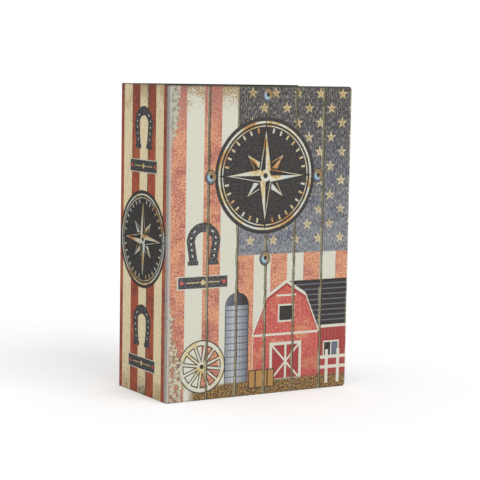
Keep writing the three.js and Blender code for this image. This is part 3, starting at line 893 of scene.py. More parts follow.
class SpineStripes(PrintLayer):
    """The spine's stripes, of uneven width, with one groove and a stained head and foot."""

    label = "print_spine_stripes"
    first_end, last_start = 9.0, 73.9
    red_stripes = ((21.4, 33.7), (47.3, 60.2))
    rust, shade = Span(0.54, 0.68, 0.6), Span(0.5, 0.4, 0.8)
    shade_below, shade_full, shade_share = 60.0, 15.0, 0.5
    orange_specks, gold_specks, dark_specks = Span(0.5, 0.68, 0.45), Span(0.5, 0.64, 0.65), Span(0.5, 0.38)
    end_reach, end_depth = 34.0, (-0.5, 0.3)
    dark_strength = (0.3, 0.7)
    stain_specks, stain_patches, stain = 2.6, 3.0, Span(0.0, 0.5, 0.65)
    corner_across = (5.5, 1.5)
    corner_below, corner_full, corner_share = 50.0, 12.0, 0.6
    chip_soft, chip_specks, chip_width = 1.5, 2.5, 4.0
    foot_chip_up, foot_chip_soft, foot_chip_width = 15.0, 3.0, 9.6
    chip, moss = Span(0.05, 0.3, 0.75), Span(0.46, 0.54)
    groove_off, groove_specks, groove_width = 0.3, 1.4, (0.7, 0.3)
    groove = Span(0.4, 0.5, 0.95, 0.35)

    def draw(self) -> None:
        """Stained cream, the reds over it, then the dirt, the chipped strip and the groove."""
        inks, graph, across, up, speck = self.inks, self.graph, self.across, self.up, self.speck
        head = self.plan.height
        end = abs(up - head / 2).spread(head / 2 - self.end_reach, head / 2, *self.end_depth)
        stain = stirred(end, (speck, self.stain_specks), (self.patch, self.stain_patches)).over(self.stain)
        self.colour = graph.stained(inks.spine_cream, (stain, inks.tan),
                                    (speck.over(self.gold_specks), inks.gold))
        shade = up.spread(head - self.shade_below, head - self.shade_full, 0.0, self.shade_share)
        red = across.below(self.first_end) | across.above(self.last_start)
        for left, right in self.red_stripes:
            red = red | (across.above(left) * across.below(right))
        self.paint(red, graph.stained(
            inks.spine_red, (self.patch.over(self.rust), inks.rust),
            (self.patch.over(self.shade), inks.spine_dark), (shade, inks.spine_dark),
            (speck.over(self.orange_specks), inks.orange)))
        corner = up.spread(head - self.corner_below, head - self.corner_full, 0.0, self.corner_share)
        self.paint(across.below(*self.corner_across) * corner, inks.soot)
        self.paint(speck.over(self.dark_specks) * end.spread(*self.end_depth, *self.dark_strength), inks.soot)
        past = across - self.red_stripes[0][1]
        width = up.below(self.foot_chip_up, self.foot_chip_soft) * self.foot_chip_width + self.chip_width
        chip = past.above(0.0) * past.below(width, self.chip_soft)
        self.paint(chip * stirred(end, (speck, self.chip_specks)).over(self.chip),
                   graph.mix(speck.over(self.moss), inks.moss, inks.groove_dark))
        line = stirred(past, (speck, self.groove_specks)) - self.groove_off
        self.paint(line.within(*self.groove_width) * self.patch.over(self.groove), inks.groove_dark)


class PrintedScrews(PrintLayer):
    """Four printed screw heads round the badge."""

    label = "print_screws"
    places = ((36.0, 170.6), (85.2, 232.8), (132.8, 170.3), (85.3, 106.8))
    squash = 0.86
    rim, collar, groove, dish = 4.9, (4.2, 0.3), (3.4, 0.3), (2.9, 0.5)
    eye, eye_place = (1.5, 0.4), (0.5, 0.4)
    collar_shade, dish_shade = Span(-3.0, 3.0), Span(-2.2, 2.2)

    def draw(self) -> None:
        """Each head from its rim inwards, lit from the upper right."""
        graph, inks = self.graph, self.inks
        for across, up in self.places:
            side, rise = self.across - across, (self.up - up) * self.squash
            reach = graph.disc(side, rise)
            slant = side + rise
            collar = graph.mix(slant.over(self.collar_shade), inks.steel_dark, inks.tan)
            self.paint(reach.below(self.rim), inks.black)
            self.paint(reach.below(*self.collar), collar)
            self.paint(reach.below(*self.groove), inks.black)
            dish = graph.mix(slant.over(self.dish_shade), inks.sky, inks.tan)
            self.paint(reach.below(*self.dish), dish)
            eye = graph.disc(side - self.eye_place[0], rise - self.eye_place[1])
            self.paint(eye.below(*self.eye), inks.black)


@dataclass
class PrintBed:
    """Where a material's print is laid: its graph, the place in millimetres and the noises."""

    graph: Graph
    across: Field
    up: Field
    patch: Field
    speck: Field
    streak: Field
    colour: object

    def lay(self, layer: PrintLayer, place: Point = (0.0, 0.0), size: float = 1.0,
            streaked: bool = False) -> None:
        """Prints a layer.

        Args:
            layer: what is printed.
            place: where its own zero lies.
            size: how many times larger it is drawn.
            streaked: whether its mottling runs in upright streaks.
        """
        across, up = self.across - place[0], self.up - place[1]
        speck = self.streak if streaked else self.speck
        node = layer.placed(self.graph, Across=across / size, Up=up / size, Under=self.colour,
                            Patch=self.patch, Speck=speck)
        self.colour = node.outputs["Over"]


class CanvasPrint:
    """The print: weathered planks with stripes and stars, a round badge, and a farm."""

    badge_place, badge_radius = (84.5, 171.0), 45.0
    spine_badge_place, spine_badge_radius = (41.0, 121.0), 37.5
    charms_place = (30.5, 122.0)
    spine_charms_up = (208.0, 56.0)

    def __init__(self, plan: SheetPlan, inks: Inks) -> None:
        """Builds the layers once.

        Args:
            plan: flat measure of the sheet.
            inks: colours of the print.
        """
        self.stripes = Stripes(plan, inks)
        self.star_field = StarField(plan, inks)
        self.badge = Badge(plan, inks)
        self.farm = Farm(plan, inks)
        self.charms = Charms(plan, inks)
        self.planks = Planks(plan, inks)
        self.spine_stripes = SpineStripes(plan, inks)
        self.screws = PrintedScrews(plan, inks)

    def cover(self, bed: PrintBed, *motifs: tuple[PrintLayer, Point]) -> None:
        """A cover, from the stripes up to the screw heads.

        Args:
            bed: where it is laid.
            *motifs: layers under the planks' grooves, and their places.
        """
        bed.lay(self.stripes)
        bed.lay(self.star_field, streaked=True)
        for layer, place in motifs:
            bed.lay(layer, place)
        bed.lay(self.planks)
        bed.lay(self.badge, self.badge_place, self.badge_radius)
        bed.lay(self.screws)

    def front(self, bed: PrintBed) -> None:
        """The front cover, with the farm and the horseshoe."""
        self.cover(bed, (self.farm, (0.0, 0.0)), (self.charms, self.charms_place))

    def back(self, bed: PrintBed) -> None:
        """The back cover, without the farm."""
        self.cover(bed)

    def spine(self, bed: PrintBed) -> None:
        """The whole spine; across runs back from the front edge.

        Args:
            bed: where it is laid.
        """
        bed.lay(self.spine_stripes, streaked=True)
        bed.lay(self.badge, self.spine_badge_place, self.spine_badge_radius)
        for up in self.spine_charms_up:
            bed.lay(self.charms, (self.spine_badge_place[0], up))


class CanvasWear:
    """Wear and painted light of one side of the canvas: dust, bare patches, the rubbed fold with its painted
    reflection and highlight, dark rims and the margin.
    """

    dust, grime = Span(0.56, 0.72, 0.14), Span(0.48, 0.3, 0.25)
    mid_noise = (0.3, 3.0, 0.6)
    bare_reach = (Span(182.0, 214.0, 9.5), Span(80.0, 64.0, 7.5), Span(50.0, 28.0, 8.0))
    bare_patches, bare_mid, bare_specks, bare_back = 14.0, 16.0, 5.0, 2.2
    bare_from, bare_start = -0.5, Span(0.2, 2.5)
    bare_edge, moss = Span(0.0, 0.5, 0.92), Span(0.45, 0.54)
    flake_share = 0.65
    foot, flaked_foot = (95.0, 10.0), (50.0, 8.0)
    sand_flakes = Span(0.5, 0.54, 0.7)
    whole_flake = (0.47, 0.01)
    crack, crack_width, crack_start = 0.465, (0.014, 0.02), Span(-0.6, 0.2, 0.85)
    edge_width, edge_share = (0.2, 0.6), 0.7
    # The fold's band, of rubbed wear and painted reflection, and its painted highlight line.
    rub_specks, rub_mid = 2.6, 2.0
    rub_back, rub_front = Span(-4.9, -3.2), Span(2.8, 1.2, 0.95)
    light_line, light_width = 0.9, (0.2, 1.2)
    rub_soot = Span(0.44, 0.38, 0.55)
    dark_line, dark_width, dark_specks = -4.2, (0.3, 0.6), Span(0.4, 0.5)
    thread_line, thread_sway, thread_width, thread = 0.2, 1.2, (0.15, 0.25), Span(0.42, 0.5, 0.8)
    pale_inset, pale_width, pale = 0.9, (0.3, 0.5), Span(0.4, 0.5, 0.7)
    back_rim, back_rim_share = (0.9, 0.9), 0.6
    head_rim = (1.15, 0.6)
    foot_rim, foot_rim_specks, foot_rim_share = (0.6, 0.9), 5.0, 0.7
    rim = Span(0.2, 0.42, 0.88)
    margin_past = 0.2

    def __init__(self, plan: SheetPlan, inks: Inks, bed: PrintBed, place: tuple[Field, Field],
                 ragged: Field) -> None:
        """Keeps what the wear is laid on.

        Args:
            plan: flat measure of the sheet.
            inks: colours of the print.
            bed: the printed side, whose colour is changed.
            place: true place across and up the sheet.
            ragged: noise that frays the print's edges.
        """
        self.plan = plan
        self.inks = inks
        self.bed = bed
        self.across, self.up = place
        self.ragged = ragged
        graph = bed.graph
        self.mid = graph.noise(graph.place(*place), *self.mid_noise)
        self.flake = self.mid * self.flake_share + ragged * (1 - self.flake_share)

    def wear(self) -> None:
        """Wears the print down, with the dark margin past its ends over all."""
        inks, ragged = self.inks, self.ragged
        self.stain(ragged.over(self.dust), inks.sand)
        self.stain(((ragged + self.bed.speck) * 0.5).over(self.grime), inks.soot)
        self.lay_bare()
        self.rub_fold()
        self.rub_rims()
        past = self.up.above(self.plan.height + self.margin_past) | self.up.below(-self.margin_past)
        self.stain(past, inks.margin)

    def stain(self, share: Field, colour: object) -> None:
        """Lays a colour over the bed's."""
        self.bed.colour = self.bed.graph.mix(share, self.bed.colour, colour)

    def lay_bare(self) -> None:
        """Bare patches beside the fold, whole at the head and flaking at the foot."""
        bed, inks, across, up = self.bed, self.inks, self.across, self.up
        top, middle, bottom = (up.over(span) for span in self.bare_reach)
        reach = top + middle + bottom
        depth = stirred(reach, (bed.patch, self.bare_patches), (self.mid, self.bare_mid),
                        (bed.speck, self.bare_specks)) - self.bare_back - across
        here = across.above(self.bare_from) * reach.over(self.bare_start)
        low, flaked = up.below(*self.foot), up.below(*self.flaked_foot)
        crust = bed.graph.stained(inks.moss, (self.mid.over(self.moss), inks.bare),
                                  (self.flake.over(self.sand_flakes) * low, inks.sand))
        whole = self.flake.above(*self.whole_flake) | (1 - flaked)
        self.stain(depth.over(self.bare_edge) * here * whole, crust)
        cracks = (self.flake - self.crack).within(*self.crack_width)
        self.stain(cracks * depth.over(self.crack_start) * here * flaked, inks.groove_dark)
        edge = depth.within(*self.edge_width) * self.edge_share
        self.stain(edge * low * here, inks.groove_dark)

    def rub_fold(self) -> None:
        """The fold between spine and cover, rubbed pale and partly a painted reflection of its rounded
        corner, with a dark line and a painted highlight line.
        """
        bed, inks, across = self.bed, self.inks, self.across
        rub = stirred(across, (bed.speck, self.rub_specks), (self.mid, self.rub_mid))
        # A painted highlight line along the rounded corner beside the fold.
        light = (across - self.light_line).within(*self.light_width)
        dark = (across - self.dark_line).within(*self.dark_width)
        dark = dark * bed.speck.over(self.dark_specks)
        # A grey band of rubbed wear and painted reflection of the rounded corner, with the painted highlight
        # and a dark line in it.
        self.stain(rub.over(self.rub_back) * rub.over(self.rub_front), bed.graph.stained(
            inks.fold, (light, inks.fold_light), (self.flake.over(self.rub_soot), inks.soot),
            (dark, inks.groove_dark)))
        thread = stirred(across, (self.ragged, self.thread_sway)) - self.thread_line
        self.stain(thread.within(*self.thread_width) * bed.patch.over(self.thread), inks.mist)

    def rub_rims(self) -> None:
        """Pale wear along the fore edges, and dark rims at the back fold, the head and the foot."""
        plan, bed, inks, across, up = self.plan, self.bed, self.inks, self.across, self.up
        half = plan.thick / 2
        fore = abs(abs(across + half) - (plan.width + half - self.pale_inset))
        self.stain(fore.below(*self.pale_width) * bed.patch.over(self.pale), inks.groove_light)
        back = (across + plan.thick).within(*self.back_rim) * self.back_rim_share
        head = (up - plan.height).within(*self.head_rim)
        foot = stirred(up, (bed.speck, self.foot_rim_specks)).within(*self.foot_rim)
        rims = back | head | (foot * self.foot_rim_share)
        self.stain(rims * self.ragged.over(self.rim), inks.groove_dark)


@dataclass(frozen=True)
class Finish:
    """A grained finish between two colours.

    Fine and broad are waves of the two noises in a metre, rough the least and most roughness, and lift
    the height of the fine noise in metres.
    """

    slot: Slot
    dark: Colour
    light: Colour
    fine: float
    broad: float
    rough: Point
    lift: float
    metal: float = 0.0
    gloss: float = 0.5
    sheen: float = 0.0


BOOKBOARD = Finish(Slot.BOARD, srgb(120, 104, 84), srgb(158, 142, 118), 2400, 160, (0.8, 0.95), 0.1 * MM)
LINING_PAPER = Finish(Slot.LINING, srgb(30, 29, 29), srgb(44, 43, 42), 1500, 40, (0.6, 0.78), 0.12 * MM,
                      gloss=0.35)
PAGE_EDGES = Finish(Slot.PAGES, srgb(28, 27, 26), srgb(44, 42, 39), 2600, 700, (0.6, 0.8), 0.08 * MM)
POWDER_COAT = Finish(Slot.STEEL, srgb(34, 35, 37), srgb(46, 47, 50), 1300, 30, (0.36, 0.5), 0.06 * MM)
BLACK_FELT = Finish(Slot.FELT, srgb(20, 20, 22), srgb(48, 48, 52), 3200, 240, (0.9, 1.0), 0.4 * MM,
                    gloss=0.1, sheen=0.4)
ZINC_PLATE = Finish(Slot.PLATED, srgb(186, 189, 192), srgb(212, 214, 216), 900, 60, (0.22, 0.36), 0.02 * MM,
                    metal=1.0)
POLISHED_NICKEL = Finish(Slot.LOCK, srgb(206, 206, 208), srgb(226, 226, 226), 600, 50, (0.1, 0.2), 0.01 * MM,
                         metal=1.0)
PLAIN_FINISHES = (BOOKBOARD, LINING_PAPER, PAGE_EDGES, POWDER_COAT, BLACK_FELT, ZINC_PLATE, POLISHED_NICKEL)


@dataclass(frozen=True)
class CanvasFinish:
    """The printed canvas: its noises in waves a millimetre, its weave, its sheen, and the painted shade that
    darkens the spine's colours.
    """

    patch: tuple[float, float, float] = (0.07, 5.0, 0.6)
    ragged: tuple[float, float] = (0.9, 2.0)
    speck: tuple[float, float, float] = (0.76, 3.0, 0.65)
    speck_squash: float = 0.85
    streak: tuple[float, float, float] = (0.66, 3.0, 0.65)
    streak_stretch: tuple[float, float] = (1.5, 0.5)
    fray: tuple[float, float] = (0.7, 0.5)
    # The spine's colours are darkened by this gamma: painted shade of the side that faces away from the
    # light.
    spine_gamma: float = 1.18
    weave_pitch: float = 0.7
    weave_shade: float = 0.12
    weave_lift: float = 0.6
    ragged_lift: float = 0.8
    bump_strength: float = 0.35
    bump_distance: float = 0.1 * MM
    rough: Span = Span(0.2, 0.8, 0.82, 0.62)
    gloss: float = 0.22


class Finishes:
    """Materials of every piece, made once."""

    weave_parts = (0.5, Span(0.0, 0.5))
    grain_colour, grain_rough = (0.35, 0.65), (0.3, 0.7)
    grain_detail = {"Fine": 3.0, "Broad": 4.0}
    grain_strength = 0.5

    def __init__(self, plan: SheetPlan) -> None:
        """Builds the shared groups, then each material.

        Args:
            plan: flat measure of the sheet.
        """
        self.plan = plan
        self.weave = self.weave_group()
        self.grain = self.grain_group()
        self.inks = Inks()
        self.art = CanvasPrint(plan, self.inks)
        self.sides = [self.canvas(side, CanvasFinish()) for side in Side]
        self.made = {finish.slot: self.grained(finish) for finish in PLAIN_FINISHES}
        self.made[Slot.CANVAS] = self.sides[Side.BACK.value]

    def weave_group(self) -> Group:
        """Cloth weave: threads over and under at a pitch, from a place in the same unit.

        Returns:
            The group, with the threads' height and shade.
        """
        group = Group("weave", {"Across": "float", "Up": "float", "Pitch": "float"},
                      {"Height": "float", "Shade": "float"})
        graph, pitch = group.graph, group.field("Pitch")
        warp, weft = (abs(graph.math("SINE", group.field(way) / pitch * math.pi)) for way in ("Across", "Up"))
        share, shade = self.weave_parts
        group.give(Height=(warp + weft) * share, Shade=(warp * weft).over(shade))
        return group

    def grain_group(self) -> Group:
        """Fine and broad noise of a surface, from a place in metres.

        Returns:
            The group, with both noises.
        """
        group = Group("grain", {"Place": "vector", "Fine": "float", "Broad": "float"},
                      {"Fine Noise": "float", "Broad Noise": "float"})
        for label, detail in self.grain_detail.items():
            noise = group.graph.noise(group.source.outputs["Place"], group.field(label), detail)
            group.give(**{f"{label}_Noise": noise})
        return group

    def start(self, name: str) -> tuple[Material, Graph, Node]:
        """A new material.

        Args:
            name: the material's name.

        Returns:
            The material, its graph and its surface shader.
        """
        material = bpy.data.materials.new(name)
        material.use_nodes = True
        return material, Graph(material.node_tree), material.node_tree.nodes["Principled BSDF"]

    def bump(self, graph: Graph, height: Field, strength: float, distance: float) -> Socket:
        """Normals raised by a height field, whose 1 is a distance in metres."""
        node = graph.node("ShaderNodeBump")
        return graph.fill(node, Strength=strength, Distance=distance, Height=height).outputs[0]

    def canvas(self, side: Side, finish: CanvasFinish) -> Material:
        """Printed canvas: the print, the spine's painted shade, its wear, the dark margin, and a fine weave.

        Args:
            side: part of the sheet.
            finish: its noises and its weave.

        Returns:
            The side's material.
        """
        material, graph, shader = self.start(f"{Slot.CANVAS.value}_{side.name.lower()}")
        flat = graph.node("ShaderNodeUVMap", uv_map=PRINT_MAP)
        split = graph.fill(graph.node("ShaderNodeSeparateXYZ"), Vector=flat.outputs[0])
        true_across, true_up = (Field(graph, split.outputs[index]) * (1 / MM) for index in (0, 1))
        where = graph.place(true_across, true_up)
        patch = graph.noise(where, *finish.patch)
        ragged = graph.noise(where, *finish.ragged)
        speck = graph.noise(graph.place(true_across, true_up * finish.speck_squash), *finish.speck)
        wide, high = finish.streak_stretch
        streak = graph.noise(graph.place(true_across * wide, true_up * high), *finish.streak)
        across = stirred(true_across, (ragged, finish.fray[0]))
        up = stirred(true_up, (ragged, finish.fray[1]))
        draw, along = {Side.FRONT: (self.art.front, across), Side.SPINE: (self.art.spine, across * -1.0),
                       Side.BACK: (self.art.back, across * -1.0 - self.plan.thick)}[side]
        bed = PrintBed(graph, along, up, patch, speck, streak, self.inks.cream)
        draw(bed)
        # Painted shade: a gamma darkens the spine's colours, as the spine faces away from the light.
        if side is Side.SPINE:
            deeper = graph.node("ShaderNodeGamma")
            bed.colour = graph.fill(deeper, Color=bed.colour, Gamma=finish.spine_gamma).outputs[0]
        CanvasWear(self.plan, self.inks, bed, (true_across, true_up), ragged).wear()
        weave = self.weave.placed(graph, Across=true_across, Up=true_up, Pitch=finish.weave_pitch)
        threads = Field(graph, weave.outputs["Shade"]) * finish.weave_shade
        height = Field(graph, weave.outputs["Height"]) * finish.weave_lift + ragged * finish.ragged_lift
        graph.fill(shader, Base_Color=graph.mix(threads, bed.colour, self.inks.black),
                   Normal=self.bump(graph, height, finish.bump_strength, finish.bump_distance),
                   Roughness=ragged.over(finish.rough), Specular_IOR_Level=finish.gloss)
        return material

    def grained(self, finish: Finish) -> Material:
        """Material of a grained finish.

        Args:
            finish: its colours, grain and gloss.

        Returns:
            The material.
        """
        material, graph, shader = self.start(finish.slot.value)
        place = graph.node("ShaderNodeTexCoord").outputs["Object"]
        grain = self.grain.placed(graph, Place=place, Fine=finish.fine, Broad=finish.broad)
        small = Field(graph, grain.outputs["Fine Noise"])
        mean = (small + Field(graph, grain.outputs["Broad Noise"])) * 0.5
        graph.fill(shader, Base_Color=graph.mix(mean.spread(*self.grain_colour), finish.dark, finish.light),
                   Roughness=mean.spread(*self.grain_rough, *finish.rough), Metallic=finish.metal,
                   Specular_IOR_Level=finish.gloss, Sheen_Weight=finish.sheen,
                   Normal=self.bump(graph, small, self.grain_strength, finish.lift))
        return material

    def dress(self, piece: Piece, slot: Slot) -> None:
        """Gives a piece its material in every slot that it has.

        Args:
            piece: the piece, or a node of the frame.
            slot: the record's slot.
        """
        if not piece.data.materials:
            piece.data.materials.append(self.made[slot])
        for material_slot in piece.material_slots:
            material_slot.material = self.made[slot]


def keep(mesh: Mesh, name: str) -> Piece:
    """Makes an object at the origin from a mesh that is drawn in place.

    Args:
        mesh: the mesh, which is used up.
        name: name of the object and of its data.

    Returns:
        The object.
    """
    data = bpy.data.meshes.new(name)
    mesh.to_mesh(data)
    mesh.free()
    piece = bpy.data.objects.new(name, data)
    bpy.context.scene.collection.objects.link(piece)
    return piece


def settle(piece: Piece, smooth: float = 35.0) -> Piece:
    """Applies a piece's modifiers for good and smooths its shading.

    Args:
        piece: the piece.
        smooth: angle in degrees from which an edge stays sharp.

    Returns:
        The same piece.
    """
    graph = bpy.context.evaluated_depsgraph_get()
    graph.update()
    data = bpy.data.meshes.new_from_object(piece.evaluated_get(graph))
    piece.modifiers.clear()
    piece.data = data
    data.name = piece.name
    data.polygons.foreach_set("use_smooth", [True] * len(data.polygons))
    data.set_sharp_from_angle(angle=math.radians(smooth))
    return piece


@dataclass(frozen=True)
class Loop:
    """A rectangle with rounded corners at one depth.

    Radii run round from the low left corner: low left, low right, high right, high left.
    """

    left: float
    right: float
    low: float
    high: float
    depth: float
    radii: tuple[float, float, float, float]

    def inset(self, step: float, depth: float) -> "Loop":
        """The same rectangle taken in all round, at another depth."""
        radii = tuple(max(radius - step, 0.0) for radius in self.radii)
        return Loop(self.left + step, self.right - step, self.low + step, self.high - step, depth, radii)

    def points(self, steps: int = 8) -> list[Vector]:
        """Points round the loop.

        Args:
            steps: steps round each corner.

        Returns:
            The points, from the low left corner on.
        """
        corners = ((self.left, self.low, 1, 1), (self.right, self.low, -1, 1),
                   (self.right, self.high, -1, -1), (self.left, self.high, 1, -1))
        places = []
        for index, ((x, z, inward_x, inward_z), radius) in enumerate(zip(corners, self.radii)):
            centre = Vector((x + inward_x * radius, self.depth, z + inward_z * radius))
            for step in range(steps + 1):
                angle = math.pi + (index + step / steps) * QUARTER_TURN
                places.append(centre + Vector((math.cos(angle), 0, math.sin(angle))) * radius)
        return places


@dataclass(frozen=True)
class Box:
    """Lowest and highest corner of a CAD node."""

    low: Vector
    high: Vector

    @classmethod
    def of(cls, node: str) -> "Box":
        """The box of a node of the frame."""
        return cls(*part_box(node))

    @property
    def middle(self) -> Vector:
        """Centre of the box."""
        return (self.low + self.high) / 2

    @property
    def size(self) -> Vector:
        """Extent along each axis."""
        return self.high - self.low

    def loop(self, depth: float, radius: float) -> Loop:
        """The box's outline from the front, at a depth and with one corner radius."""
        return Loop(self.low.x, self.high.x, self.low.z, self.high.z, depth, (radius,) * 4)


def fillet(loop: Loop, radius: float, deeper: float, outward: bool, steps: int = 4) -> list[Loop]:
    """Loops of a quarter round between a flat face and a wall.

    Args:
        loop: the wall's loop, at the depth of the flat face.
        radius: radius of the quarter round.
        deeper: 1 where the wall runs to greater depth, -1 where it runs to less.
        outward: whether the loops go from the face to the wall, and not back.
        steps: steps of the quarter round.

    Returns:
        The loops in order.
    """
    loops = []
    for step in range(steps + 1):
        angle = step / steps * QUARTER_TURN
        inset = radius * (1 - math.sin(angle))
        loops.append(loop.inset(inset, loop.depth + deeper * radius * (1 - math.cos(angle))))
    return loops if outward else loops[::-1]


def mended(mesh: Mesh) -> Mesh:
    """Merges doubled corners and turns the faces outwards.

    Args:
        mesh: the mesh, which is changed.

    Returns:
        The same mesh.
    """
    bmesh.ops.remove_doubles(mesh, verts=mesh.verts, dist=TOUCH)
    bmesh.ops.dissolve_degenerate(mesh, dist=CUT_TOUCH, edges=mesh.edges)
    bmesh.ops.recalc_face_normals(mesh, faces=mesh.faces)
    return mesh


def band(mesh: Mesh, first: Sequence[Vert],
         second: Sequence[Vert]) -> None:
    """Closes the gap between two rings with faces, and leaves out corners that meet.

    Args:
        mesh: the mesh that the rings are in.
        first: vertices of one ring.
        second: as many vertices of the other.
    """
    for index in range(len(first)):
        after = (index + 1) % len(first)
        corners = list(dict.fromkeys((first[index], first[after], second[after], second[index])))
        if len(corners) > 2:
            mesh.faces.new(corners)


def lofted(loops: Sequence[Loop]) -> Mesh:
    """A closed mesh through loops, with flat ends.

    Args:
        loops: the loops in order.

    Returns:
        The mesh.
    """
    mesh = bmesh.new()
    rings = [[mesh.verts.new(place) for place in loop.points()] for loop in loops]
    for first, second in zip(rings, rings[1:]):
        band(mesh, first, second)
    mesh.faces.new(rings[0][::-1])
    mesh.faces.new(rings[-1])
    return mended(mesh)


def turned(profile: Sequence[Point], steps: int = 40) -> Mesh:
    """A profile turned about the y axis, closed where it ends on the axis.

    Args:
        profile: radius and place along the axis of each point.
        steps: steps round the axis.

    Returns:
        The mesh.
    """
    mesh = bmesh.new()
    rings = []
    for radius, along in profile:
        if radius == 0:
            rings.append([mesh.verts.new((0, along, 0))] * steps)
            continue
        angles = [math.tau * step / steps for step in range(steps)]
        rings.append([mesh.verts.new((radius * math.cos(angle), along, radius * math.sin(angle)))
                      for angle in angles])
    for first, second in zip(rings, rings[1:]):
        band(mesh, first, second)
    return mended(mesh)


def basis(first: Sequence[float], second: Sequence[float], third: Sequence[float],
          origin: Sequence[float] = (0, 0, 0)) -> Matrix:
    """Matrix that takes the first, second and third axis to the directions given."""
    turn = Matrix((first, second, third)).transposed().to_4x4()
    return Matrix.Translation(origin) @ turn


INTO_BOOK = basis(RIGHT, UP, INTO)


def prism(outline: Sequence[Point], low: float, high: float, turn: Matrix = INTO_BOOK) -> Mesh:
    """An outline given a length, then turned and placed.

    Args:
        outline: its points.
        low: where the length starts.
        high: where it ends.
        turn: takes the outline's two axes and its length to their directions.

    Returns:
        The mesh.
    """
    mesh = bmesh.new()
    ends = [[mesh.verts.new((*place, level)) for place in outline] for level in (low, high)]
    band(mesh, *ends)
    for end in ends:
        mesh.faces.new(end)
    bmesh.ops.transform(mesh, matrix=turn, verts=mesh.verts)
    return mended(mesh)


def rectangle(low: Point, high: Point) -> list[Point]:
    """Four corners of a rectangle."""
    return [low, (high[0], low[1]), high, (low[0], high[1])]


def arc(radius: float, angles: Iterable[float]) -> list[Point]:
    """Points at angles on a circle about zero."""
    return [(radius * math.cos(angle), radius * math.sin(angle)) for angle in angles]


def placed(mesh: Mesh, origin: Sequence[float]) -> Mesh:
    """Moves a mesh to its place."""
    bmesh.ops.translate(mesh, vec=origin, verts=mesh.verts)
    return mesh


def drill(radius: float, low: float, high: float, axis: Vector, steps: int = 40) -> Mesh:
    """A cutter for a round hole along y, from low to high, which stands out at both ends."""
    near, far = low - OVERRUN, high + OVERRUN
    return placed(turned([(0, near), (radius, near), (radius, far), (0, far)], steps), (axis.x, 0, axis.z))


def soften(piece: Piece, width: float, segments: int = 3, angle: float = 40.0) -> Piece:
    """Rounds a piece's sharp edges and applies it.

    Args:
        piece: the piece.
        width: width of the rounding.
        segments: steps across it.
        angle: angle in degrees from which an edge is rounded.

    Returns:
        The same piece.
    """
    bevel = piece.modifiers.new("edges", "BEVEL")
    bevel.width = width
    bevel.segments = segments
    bevel.limit_method = "ANGLE"
    bevel.angle_limit = math.radians(angle)
    bevel.use_clamp_overlap = True
    return settle(piece)


def joined(piece: Piece, operation: str, *meshes: Mesh) -> Piece:
    """Cuts shapes out of a piece, or joins them to it.

    Args:
        piece: the piece.
        operation: DIFFERENCE or UNION.
        *meshes: the shapes, which are used up.

    Returns:
        The same piece.
    """
    tools = [keep(mesh, f"{piece.name}_tool") for mesh in meshes]
    for tool in tools:
        step = piece.modifiers.new("tool", "BOOLEAN")
        step.operation = operation
        step.solver = "EXACT"
        step.object = tool
    settle(piece)
    for tool in tools:
        bpy.data.objects.remove(tool)
    return piece


def carved(piece: Piece, *meshes: Mesh) -> Piece:
    """Cuts shapes out of a piece."""
    return joined(piece, "DIFFERENCE", *meshes)


